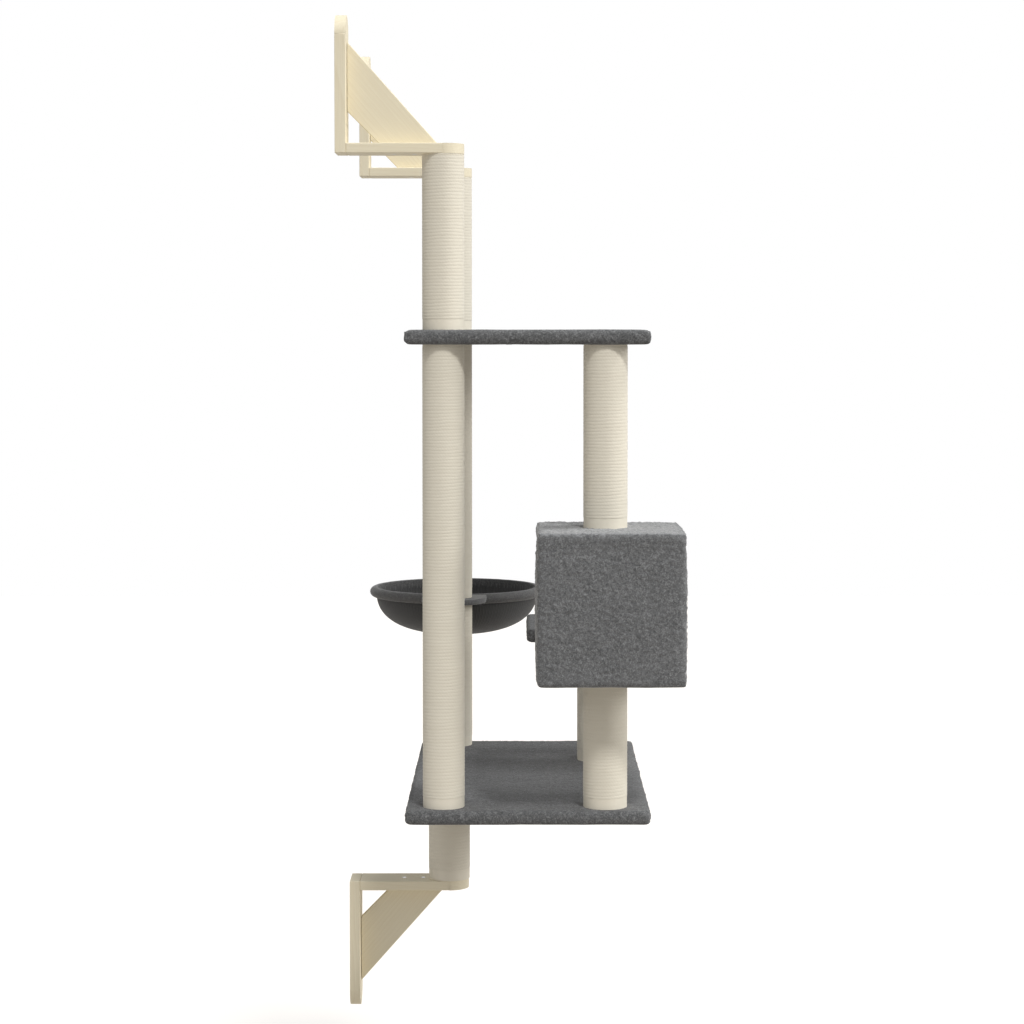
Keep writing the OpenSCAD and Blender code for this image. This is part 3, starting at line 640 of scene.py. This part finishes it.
# %% Dress the brackets
# Where each bracket's tree trunk had its heart, so that no two boards look alike
HEART = {"left": (0.3, 0.03, -0.06), "right": (0.1, -0.02, -0.05), "bottom": (0.2, 0.02, -0.07)}

for side in ("left", "right", "bottom"):
    brace_low, brace_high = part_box(side + "_bracket_brace")
    fall = math.atan2(brace_high.z - brace_low.z, brace_high.x - brace_low.x)
    if side != "bottom":
        fall = -fall
    for part, grain in (("plate", math.pi / 2), ("arm", 0.0), ("brace", fall)):
        node = f"{side}_bracket_{part}"
        x, y, z = HEART[side]
        wood = birch(f"birch_{side}_{part}", grain, (x, y if part == "brace" else -z, z))
        gap = JOINT_GAP if part == "brace" else 0.0
        dress(eased(node, node + "_wood", long_edge, gap=gap), wood)

# %% [markdown]
# Each post is wound with rope from collar to collar. Rope that is wound this tightly
# is pressed flat against its neighbours, so its section is a rounded square, and
# only a shallow groove is left between two turns. The section is drawn as a ring of
# points beside the post's axis and swept by the Screw modifier, one turn of it for
# each turn of rope. The sweep starts below the collar and ends above the other one;
# two cuts with the bisect tool then level both ends, and fill them. Between the
# ends every turn wanders up and down a little, as hand-wound rope does.

# %% Rope windings
ROPE_D = 6 * MM
TURN_STEPS = 48
GROOVE = 0.28 * MM
HALF = ROPE_D / 2
WANDER = 0.7 * MM
# The height over which the wander repeats, for its two waves
WANDER_RISE = (17 * MM, 11 * MM)
# The rope's section: out from its middle, and up
SECTION = [
    (HALF - GROOVE, -0.99 * HALF), (HALF - 0.25 * GROOVE, -0.55 * HALF), (HALF, 0),
    (HALF - 0.25 * GROOVE, 0.55 * HALF), (HALF - GROOVE, 0.99 * HALF),
    (-0.9 * HALF, 0.95 * HALF), (-0.9 * HALF, -0.95 * HALF)]


def level_end(piece, height, above):
    """Cuts a piece level at a height and closes the cut."""
    edit(piece)
    bpy.ops.mesh.bisect(plane_co=(0, 0, height), plane_no=(0, 0, 1), use_fill=True,
                        clear_outer=above, clear_inner=not above, threshold=0.001 * MM)
    done()


def wander(rope, axis, low, high):
    """Lets the turns drift up and down between the ends of the winding."""
    places = corners_of(rope)
    around = np.arctan2(places[:, 1] - axis[1], places[:, 0] - axis[0])
    up = places[:, 2]
    fade = np.clip(np.minimum(up - low, high - up) / (4 * ROPE_D), 0, 1)
    drift = (np.sin(2 * around + up / WANDER_RISE[0])
             + np.sin(3 * around - up / WANDER_RISE[1] + 20 * axis[0]))
    places[:, 2] += 0.5 * WANDER * fade * drift
    move_corners(rope, places)


# %% Wind the posts


def winding(node):
    """The wound rope of one post."""
    low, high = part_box(node)
    axis = ((low.x + high.x) / 2, (low.y + high.y) / 2)
    radius = (high.x - low.x) / 2
    turns = round((high.z - low.z) / ROPE_D)
    pitch = (high.z - low.z) / turns
    bpy.ops.mesh.primitive_circle_add(vertices=len(SECTION), radius=HALF)
    rope = new_piece(node.replace("_rope", "_winding"))
    move_corners(rope, np.array([
        (radius - HALF + out, 0, low.z - pitch / 2 + up * pitch / ROPE_D)
        for out, up in SECTION]))
    modify(rope, "SCREW", axis="Z", angle=2 * math.pi, screw_offset=pitch,
           iterations=turns + 1, steps=TURN_STEPS, render_steps=TURN_STEPS)
    edit(rope)
    bpy.ops.mesh.fill_holes(sides=len(SECTION))
    bpy.ops.mesh.select_all(action="SELECT")
    bpy.ops.mesh.normals_make_consistent(inside=False)
    done()
    level_end(rope, low.z, False)
    level_end(rope, high.z, True)
    rope.location = (axis[0], axis[1], 0)
    wander(settle(rope), axis, low.z, high.z)
    smooth(rope, 50)
    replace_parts(rope, node)
    return dress(rope, rope_finish(rope.name, axis, radius))


for node in sorted(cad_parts):
    if node.endswith("_rope"):
        winding(node)

# %% [markdown]
# A moulded cap closes each post end. The caps are one CAD node, so one copy has all
# of them; only the rims at the posts' own radius are rounded.

# %% End caps
CAP_EASE = 0.5 * MM
# Edges further out than this lie on a cap's rim
RIM_FROM = 35 * MM

post_axes = []
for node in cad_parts:
    if node.endswith("_core"):
        low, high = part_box(node)
        post_axes.append(((low.x + high.x) / 2, (low.y + high.y) / 2))


def on_rim(edge):
    """True for a level edge on the outside of a cap."""
    middle = (edge.verts[0].co + edge.verts[1].co) / 2
    off = min(math.hypot(middle.x - x, middle.y - y) for x, y in post_axes)
    level = abs(edge.verts[0].co.z - edge.verts[1].co.z) < 0.1 * MM
    return level and off > RIM_FROM


dress(eased("post_end_caps", "moulded_caps", on_rim, CAP_EASE), cap_cream)

# %% [markdown]
# The platforms, the perch and the hideaway are chipboard with plush pulled over
# them. Each cover starts as a box of the CAD's size, which gets rounded edges and
# is remeshed into even squares, so that a noise can move it finely everywhere.

# %% Soft blocks
VOXEL = 5 * MM
EDGE_R = 7 * MM


def cloud(name, size, depth=2):
    """A soft noise for the Displace modifier."""
    made = bpy.data.textures.new(name, "CLOUDS")
    made.noise_scale = size
    made.noise_depth = depth
    return made


LIE = cloud("lie", 0.09)
PILE = cloud("pile", 0.006, 1)


def slab(name, middle, size):
    """A plain box in its place, to be shaped."""
    bpy.ops.mesh.primitive_cube_add(size=1, location=middle, scale=size)
    return settle(new_piece(name))


def roughen(piece, texture, height, level=0.5, **more):
    """Moves the surface in and out by a noise, so many metres from black to white."""
    modify(piece, "DISPLACE", texture=texture, strength=height, mid_level=level,
           texture_coords="LOCAL", **more)


def soft_block(name, node, edge):
    """A box of a node's size with rounded edges, in even squares."""
    low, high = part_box(node)
    block = slab(name, (low + high) / 2, high - low)
    edit(block)
    bpy.ops.mesh.bevel(offset=edge, segments=4, affect="EDGES")
    done()
    modify(block, "REMESH", mode="VOXEL", voxel_size=VOXEL)
    modify(block, "SMOOTH", factor=0.5, iterations=2)
    return block


# %% [markdown]
# A broad noise moves the box the way plush lies, and the skin gets its thickness
# inwards. The pile comes last: the outer squares that show are halved each way, and
# a fine noise raises tufts on them alone. They are low where the pile is pressed.

# %% Pile
PLUSH_T = 4 * MM
# Height of the tufts on the hideaway, on the platforms' edges and on their tops
TUFT = 4.4 * MM
EDGE_TUFT = 3.4 * MM
PRESSED_TUFT = 1 * MM
# The grey of the noise that stays in place; with less than a half, most points move out
OUTWARD_LEVEL = 0.35
# The area that tells a square which was halved each way from a whole one
SMALL_SQUARE = 0.3 * VOXEL ** 2


def raise_tufts(piece, test, height):
    """Raises tufts on the faces that pass the test."""
    edit(piece)
    pick(piece, "FACE", test)
    bpy.ops.object.vertex_group_assign_new()
    done()
    roughen(piece, PILE, height, OUTWARD_LEVEL, vertex_group=piece.vertex_groups[-1].name)


def plush_skin(piece, lie, side_tuft, top_tuft):
    """Gives the cloth its loose lie, its thickness and, on its outer side, its pile."""
    roughen(piece, LIE, lie, OUTWARD_LEVEL)
    outer = len(piece.data.polygons)
    modify(piece, "SOLIDIFY", thickness=PLUSH_T, offset=-1.0)
    edit(piece)
    pick(piece, "FACE", lambda f: f.index < outer and f.normal.z > -0.5)
    bpy.ops.mesh.subdivide(number_cuts=1)
    done()
    raise_tufts(piece, lambda f: f.calc_area() < SMALL_SQUARE and f.normal.z < 0.7, side_tuft)
    raise_tufts(piece, lambda f: f.calc_area() < SMALL_SQUARE and f.normal.z >= 0.7, top_tuft)
    smooth(piece)


# %% [markdown]
# The platforms' plush is folded under the board and stapled there, which leaves a
# window below. Its faces are deleted before the skin gets its thickness, so that
# the folded edge has one too.

# %% Platform plush
FOLD = 45 * MM
PERCH_FOLD = 50 * MM
PERCH_EDGE_R = 5 * MM
PLATFORM_LIE = 1.6 * MM
# Faces below this height over the cover's foot are on its underside
FOOT_ZONE = 6 * MM


def cut_window(piece, low, high, fold):
    """Opens the underside inside the folded edge."""
    edit(piece)
    pick(piece, "FACE", lambda f: f.normal.z < -0.8
         and f.calc_center_median().z < low.z + FOOT_ZONE
         and low.x + fold < f.calc_center_median().x < high.x - fold
         and low.y + fold < f.calc_center_median().y < high.y - fold)
    bpy.ops.mesh.delete(type="FACE")
    done()


def platform_skin(name, node, fold=FOLD, edge=EDGE_R):
    """The plush that covers a platform and is folded under it."""
    low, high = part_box(node)
    skin = soft_block(name, node, edge)
    cut_window(skin, low, high, fold)
    plush_skin(skin, PLATFORM_LIE, EDGE_TUFT, PRESSED_TUFT)
    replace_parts(skin, node)
    return dress(skin, deck_plush)


platform_skin("top_plush", "top_platform_cover")
platform_skin("bottom_plush", "bottom_platform_cover")
platform_skin("perch_plush", "perch_cover", PERCH_FOLD, PERCH_EDGE_R)

# %% [markdown]
# Below each platform a felt sheet closes the window, and staples hold the folded
# plush. Of a staple only the back shows, a short flat bar, because its legs are in
# the board. So the staples are small bars in rows along the fold, joined into one
# piece, and their edges are eased all at once.

# %% Felt and staples
# A staple's length, width and height
STAPLE = (11 * MM, 1.2 * MM, 0.7 * MM)
STAPLE_PROUD = 0.2 * MM
STAPLE_SPACING = 62 * MM
STAPLE_INSET = 30 * MM
# How much further in the first and the last staple of a row lie
CORNER_INSET = 20 * MM


def felt_panel(name, node):
    """The felt that closes a platform's underside."""
    low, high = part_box(node)
    panel = slab(name, (low + high) / 2, high - low)
    edit(panel)
    bpy.ops.mesh.bevel(offset=1 * MM, segments=2, affect="EDGES")
    done()
    modify(panel, "REMESH", mode="VOXEL", voxel_size=4 * MM)
    roughen(panel, LIE, 0.8 * MM)
    smooth(panel)
    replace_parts(panel, node)
    return dress(panel, felt)


def staple_row(points, turned, z):
    """Staples at the points, all level with the plush at z."""
    made = []
    for x, y in points:
        bpy.ops.mesh.primitive_cube_add(size=1, location=(x, y, z), scale=STAPLE)
        if turned:
            bpy.context.object.rotation_euler.z = math.pi / 2
        made.append(settle(bpy.context.object))
    return made


def spots_between(low, high):
    """Even places for one row of staples, with its ends kept off the corners."""
    first, last = low + STAPLE_INSET, high - STAPLE_INSET
    count = int((high - low - 2 * STAPLE_INSET) / STAPLE_SPACING)
    return np.linspace(first + CORNER_INSET, last - CORNER_INSET, count)


def staples(name, node):
    """A ring of staples on the folded plush under a platform."""
    low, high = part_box(node)
    z = low.z - STAPLE_PROUD
    made = []
    for side in (low.y + STAPLE_INSET, high.y - STAPLE_INSET):
        made += staple_row([(x, side) for x in spots_between(low.x, high.x)], False, z)
    for side in (low.x + STAPLE_INSET, high.x - STAPLE_INSET):
        made += staple_row([(side, y) for y in spots_between(low.y, high.y)], True, z)
    row = join(name, made)
    edit(row)
    bpy.ops.mesh.bevel(offset=0.25 * MM, segments=1, affect="EDGES")
    done()
    return dress(row, zinc)


felt_panel("top_felt", "top_platform_underlay")
felt_panel("bottom_felt", "bottom_platform_underlay")
staples("top_staples", "top_platform_cover")
staples("bottom_staples", "bottom_platform_cover")
staples("perch_staples", "perch_cover")

# %% [markdown]
# The hideaway is a box of panels in one tight plush cover. Pulled cloth hugs the
# upper edges, dips a little below them and swells lower down, so its vertices are
# pressed in and out by a smooth rule of their height, which fades towards the
# corners. The entrance is a round hole in the cover's far end.

# %% Hideaway cover
cover_low, cover_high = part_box("condo_cover")
door_low, door_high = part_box("entrance_trim")
door = (door_low + door_high) / 2
DOOR_R = 85 * MM
HIDEAWAY_EDGE_R = 6 * MM
HIDEAWAY_LIE = 2.2 * MM
DIP = 3.2 * MM
SWELL = 2.2 * MM
# Where the dip lies and how far it spreads, and where the swell ends, as shares of the height
DIP_AT = 0.89
DIP_SPREAD = 0.06
SWELL_END = 0.84
# How strongly the cloth pulls on the sides along X and along Y
PULL = (1.0, 0.35)


def pull_cloth(piece):
    """Dips the sides below the roof and swells them lower down."""
    places = corners_of(piece)
    middle = (np.array(cover_low) + np.array(cover_high)) / 2
    half = (np.array(cover_high) - np.array(cover_low)) / 2
    side = (places - middle) / half
    up = (places[:, 2] - cover_low.z) / (cover_high.z - cover_low.z)
    dip = np.exp(-(((up - DIP_AT) / DIP_SPREAD) ** 2))
    swell = np.sin(np.pi * np.clip(up / SWELL_END, 0, 1)) ** 0.8
    push = SWELL * swell - DIP * dip
    for way in (0, 1):
        flat_side = np.abs(side[:, way]) > 0.9
        other = 1 - np.abs(side[:, 1 - way]) ** 6
        places[flat_side, way] += (PULL[way] * np.sign(side[:, way]) * push * other)[flat_side]
    move_corners(piece, places)


def round_hole(piece, centre, radius):
    """Cuts a round hole through the skin's face at +Y."""
    edit(piece)
    pick(piece, "FACE", lambda f: f.normal.y > 0.8 and math.hypot(
        f.calc_center_median().x - centre.x, f.calc_center_median().z - centre.z) < radius)
    bpy.ops.mesh.delete(type="FACE")
    pick(piece, "VERT", lambda v: v.is_boundary and v.co.y > centre.y - 30 * MM)
    done()
    places = corners_of(piece)
    for vertex in piece.data.vertices:
        if vertex.select:
            off = places[vertex.index] - np.array(centre)
            length = math.hypot(off[0], off[2])
            places[vertex.index, 0] = centre.x + off[0] * radius / length
            places[vertex.index, 2] = centre.z + off[2] * radius / length
    move_corners(piece, places)


# %% Make the hideaway cover
condo_skin = soft_block("condo_plush", "condo_cover", HIDEAWAY_EDGE_R)
round_hole(condo_skin, door, DOOR_R)
pull_cloth(condo_skin)
plush_skin(condo_skin, HIDEAWAY_LIE, TUFT, TUFT)
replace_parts(condo_skin, "condo_cover")
dress(condo_skin, plush)

# %% [markdown]
# The entrance's edge is bound with a doubled strip. Its outline is drawn as a short
# chain of points and spun round the entrance; a ripple all round shows where the
# strip is gathered to take the curve.

# %% Entrance binding
TRIM_WALL = 3 * MM
TRIM_LIP = 8 * MM
TRIM_PROUD = 4 * MM
TRIM_OVER_PANEL = 0.3 * MM
GATHERS = 64
GATHER_DEPTH = 0.35 * MM
# The first and last row of a spin lie closer than this and are joined
SEAM = 0.02 * MM


def spun(name, outline, centre, steps):
    """A ring with this outline of (out, along) pairs, spun round Y through the centre."""
    bpy.ops.mesh.primitive_circle_add(vertices=len(outline), radius=1, location=(0, 0, 0))
    ring = new_piece(name)
    move_corners(ring, np.array([(out, along, 0) for out, along in outline]))
    edit(ring)
    bpy.ops.mesh.spin(steps=steps, angle=2 * math.pi, center=(0, 0, 0), axis=(0, 1, 0))
    bpy.ops.mesh.select_all(action="SELECT")
    bpy.ops.mesh.remove_doubles(threshold=SEAM)
    bpy.ops.mesh.normals_make_consistent(inside=False)
    done()
    ring.location = centre
    return settle(ring)


lip_mid = DOOR_R + TRIM_LIP / 2
lip_half = TRIM_LIP / 2 + TRIM_WALL / 2
lip_foot = cover_high.y
lip = [(lip_mid - TRIM_WALL / 2 + lip_half * math.cos(turn), TRIM_PROUD * math.sin(turn))
       for turn in np.linspace(0, math.pi, 11)]
wall_depth = lip_foot - door_low.y
outline = [(DOOR_R - TRIM_WALL, -wall_depth), (DOOR_R - TRIM_OVER_PANEL, -wall_depth),
           (DOOR_R - TRIM_OVER_PANEL, -1 * MM)] + lip
binding = spun("entrance_binding", outline, (door.x, lip_foot, door.z), 3 * GATHERS)
places = corners_of(binding)
around = np.arctan2(places[:, 2] - door.z, places[:, 0] - door.x)
proud = np.clip((places[:, 1] - lip_foot) / TRIM_PROUD, 0, 1)
places[:, 1] += proud * GATHER_DEPTH * np.sin(GATHERS * around)
move_corners(binding, places)
smooth(binding, 50)
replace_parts(binding, "entrance_trim")
dress(binding, holder_cloth)

# %% [markdown]
# The floor mat is a thin stuffed cushion. Cloth simulation makes it: a slightly
# small slab is remeshed, blown up by pressure with no gravity, and held to a few
# millimetres of swelling.

# %% Floor mat
# How much smaller the slab is than the mat, before it swells
MAT_SLACK = Vector((6 * MM, 6 * MM, 4 * MM))
MAT_SWELL = 3 * MM
# The swollen mat stays this far inside its CAD size
MAT_MARGIN = 0.1 * MM


def puff(piece, pressure, frames, most):
    """Blows a closed mesh up as cloth, no point moving further than most."""
    start = corners_of(piece)
    select_only(piece)
    cloth = piece.modifiers.new("Cloth", "CLOTH")
    cloth.settings.use_pressure = True
    cloth.settings.uniform_pressure_force = pressure
    cloth.settings.effector_weights.gravity = 0
    cloth.settings.quality = 5
    cloth.point_cache.frame_end = frames
    for step in range(1, frames + 1):
        bpy.context.scene.frame_set(step)
    swollen = piece.evaluated_get(bpy.context.evaluated_depsgraph_get())
    places = np.array([vertex.co for vertex in swollen.data.vertices])
    piece.modifiers.remove(cloth)
    bpy.context.scene.frame_set(1)
    way = places - start
    far = np.linalg.norm(way, axis=1, keepdims=True)
    move_corners(piece, start + way * np.minimum(1, most / np.maximum(far, 1e-9)))


mat_low, mat_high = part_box("condo_floor_mat")
mat = slab("floor_mat", (mat_low + mat_high) / 2, mat_high - mat_low - MAT_SLACK)
edit(mat)
bpy.ops.mesh.bevel(offset=2 * MM, segments=2, affect="EDGES")
done()
modify(mat, "REMESH", mode="VOXEL", voxel_size=5 * MM)
puff(mat, 2.0, 12, MAT_SWELL)
places = corners_of(mat)
places = np.clip(places, np.array(mat_low) + MAT_MARGIN, np.array(mat_high) - MAT_MARGIN)
move_corners(mat, places)
smooth(mat)
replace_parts(mat, "condo_floor_mat")
dress(mat, fleece)

# %% [markdown]
# A plush-covered holder is clamped between two posts, and the bowl's ring is welded
# to a fork below it. The holder starts as a disc; its far half is pulled out square
# and then hollowed by the bowl, with every outer edge rounded by the cloth.

# %% Bowl holder
holder_low, holder_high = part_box("holder_cover")
rim_low, rim_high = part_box("bowl_rim")
bowl = (rim_low + rim_high) / 2
post_x, post_y = bowl.x, holder_low.y + (holder_high.x - holder_low.x) / 2
HOLDER_R = (holder_high.x - holder_low.x) / 2
HOLLOW_GAP = 0.3 * MM
HOLDER_EASE = 2.6 * MM
# Height of the short nap on the holder and on the bowl's rim
NAP = 0.5 * MM

bpy.ops.mesh.primitive_cylinder_add(
    vertices=96, radius=HOLDER_R, depth=holder_high.z - holder_low.z,
    location=(post_x, post_y, (holder_low.z + holder_high.z) / 2))
holder = settle(new_piece("holder_fleece"))
places = corners_of(holder)
ahead = places[:, 1] > post_y + 0.1 * MM
sideways = places[:, 0] - post_x
square = HOLDER_R / np.maximum(np.abs(sideways), places[:, 1] - post_y)
places[ahead, 0] = post_x + (sideways * square)[ahead]
places[ahead, 1] = post_y + ((places[:, 1] - post_y) * square)[ahead]
move_corners(holder, places)
bpy.ops.mesh.primitive_cylinder_add(
    vertices=256, radius=(rim_high.x - rim_low.x) / 2 + HOLLOW_GAP, depth=0.1, location=bowl)
hollow = settle(new_piece("hollow"))
modify(holder, "BOOLEAN", object=hollow, operation="DIFFERENCE", solver="EXACT")
bpy.data.objects.remove(hollow)
edit(holder)
pick(holder, "EDGE", lambda e: len(e.link_faces) == 2 and e.calc_face_angle() > math.radians(50))
bpy.ops.mesh.bevel(offset=HOLDER_EASE, segments=4, affect="EDGES")
done()
modify(holder, "REMESH", mode="VOXEL", voxel_size=2 * MM)
roughen(holder, PILE, NAP)
smooth(holder)
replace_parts(holder, "holder_cover")
dress(holder, holder_cloth, "bowl")

# %% [markdown]
# The bowl's rim is a padded roll round the steel ring. It starts as a ring of round
# section. Its padding settles, so it is lower than it is wide, and its inner side is
# pressed flat, level with the inside of the basket, and gathered into fine upright
# ribs.

# %% Bowl rim
RIM_R = (rim_high.x - rim_low.x) / 2 - (rim_high.z - rim_low.z) / 2
ROLL_R = (rim_high.z - rim_low.z) / 2
FABRIC_T = 3.4 * MM
RIM_RIBS = 152
RIB_DEPTH = 0.45 * MM
ROLL_SETTLED_SHARE = 0.83
ROLL_SAG = 1 * MM
# How full the roll is on the whole, and how much fuller or emptier it is in places
ROLL_FULL = 0.97
ROLL_LUMPS = 0.05

basket_r = RIM_R - 1 * MM
wall_r = basket_r - FABRIC_T


def round_bowl(places):
    """How far each place lies from the bowl's upright axis, and at what angle."""
    off = places - np.array(bowl)
    return np.hypot(off[:, 0], off[:, 1]), np.arctan2(off[:, 1], off[:, 0])


bpy.ops.mesh.primitive_torus_add(
    major_radius=RIM_R, minor_radius=ROLL_R, major_segments=4 * RIM_RIBS, minor_segments=24,
    location=bowl)
roll = settle(new_piece("rim_roll"))
places = corners_of(roll)
out, around = round_bowl(places)
slack = np.array([noise.noise(Vector((math.cos(a) * 3, math.sin(a) * 3, z * 40)))
                  for a, z in zip(around, places[:, 2] - bowl.z)])
swollen = RIM_R + (out - RIM_R) * (ROLL_FULL + ROLL_LUMPS * slack)
pressed = np.maximum(swollen, wall_r + RIB_DEPTH * np.cos(RIM_RIBS * around))
places[:, 0] = bowl.x + pressed * np.cos(around)
places[:, 1] = bowl.y + pressed * np.sin(around)
places[:, 2] = rim_low.z - ROLL_SAG + (places[:, 2] - rim_low.z) * ROLL_SETTLED_SHARE
move_corners(roll, places)
roughen(roll, PILE, NAP)
smooth(roll)
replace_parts(roll, "bowl_rim")
dress(roll, fleece, "bowl")

# %% [markdown]
# The basket below the rim is one round of cloth that hangs from the ring. Its half
# outline is a rounded square, which is spun round the bowl's axis. The cap that
# closes the spin at the rim's level comes off again, faint pleats run down the
# cloth, and it gets its thickness last.

# %% Bowl cloth
BOWL_POWER = 2.5
DROP_STEPS = 26
# The small hole that the spin leaves in the middle, as a share of the bowl
MIDDLE_SHARE = 0.004
PLEAT = 0.2 * MM

basket_low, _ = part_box("bowl_basket")
depth = bowl.z - basket_low.z
shares = [math.sin(math.pi / 2 * step / DROP_STEPS) for step in range(DROP_STEPS + 1)]
profile = [(max(share, MIDDLE_SHARE) * basket_r,
            -depth * (1 - share ** BOWL_POWER) ** (1 / BOWL_POWER)) for share in shares]


def open_spun(name, line, centre, steps):
    """A round sheet from a half outline, spun round the upright axis."""
    bpy.ops.mesh.primitive_circle_add(vertices=len(line), radius=1, location=(0, 0, 0))
    sheet = new_piece(name)
    move_corners(sheet, np.array([(out, 0, up) for out, up in line]))
    edit(sheet)
    last = len(line) - 1
    pick(sheet, "EDGE", lambda e: {v.index for v in e.verts} == {0, last})
    bpy.ops.mesh.delete(type="EDGE")
    bpy.ops.mesh.select_all(action="SELECT")
    bpy.ops.mesh.spin(steps=steps, angle=2 * math.pi, center=(0, 0, 0), axis=(0, 0, 1))
    bpy.ops.mesh.select_all(action="SELECT")
    bpy.ops.mesh.remove_doubles(threshold=SEAM)
    bpy.ops.mesh.fill_holes(sides=steps)
    done()
    sheet.location = centre
    return settle(sheet)


basket = open_spun("bowl_cloth", profile, bowl, 4 * RIBS)
edit(basket)
pick(basket, "FACE", lambda f: len(f.verts) > 4 and f.calc_center_median().z > bowl.z - 5 * MM)
bpy.ops.mesh.delete(type="FACE")
bpy.ops.mesh.select_all(action="SELECT")
bpy.ops.mesh.normals_make_consistent(inside=False)
done()
places = corners_of(basket)
out, around = round_bowl(places)
fade = np.clip(out / basket_r, 0, 1) ** 2
wave = PLEAT * fade * np.cos(RIBS * around)
places[:, 0] += wave * np.cos(around)
places[:, 1] += wave * np.sin(around)
move_corners(basket, places)
modify(basket, "SOLIDIFY", thickness=FABRIC_T, offset=-1.0)
smooth(basket)
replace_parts(basket, "bowl_basket")
dress(basket, bowl_finish((bowl.x, bowl.y)), "bowl")

# %% [markdown]
# What is left are CAD parts whose shape is already right. They keep their meshes
# and only get a finish: cardboard cores, zinc fasteners, chipboard panels and the
# black steel of the ring and fork.

# %% Finishes on the CAD parts
CAD_FINISH = {
    cardboard: [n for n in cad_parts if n.endswith("_core")],
    zinc: ["bracket_screws", "threaded_inserts", "connecting_studs", "holder_stud",
           "post_bolts", "bolt_washers", "condo_screws"],
    chipboard: [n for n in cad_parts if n.endswith(("_board", "_panel", "_floor", "_roof"))],
    black_steel: ["bowl_ring", "bowl_fork", "holder_screws"],
}
for material, nodes in CAD_FINISH.items():
    for node in nodes:
        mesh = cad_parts[node].data
        mesh.materials.clear()
        mesh.materials.append(material)
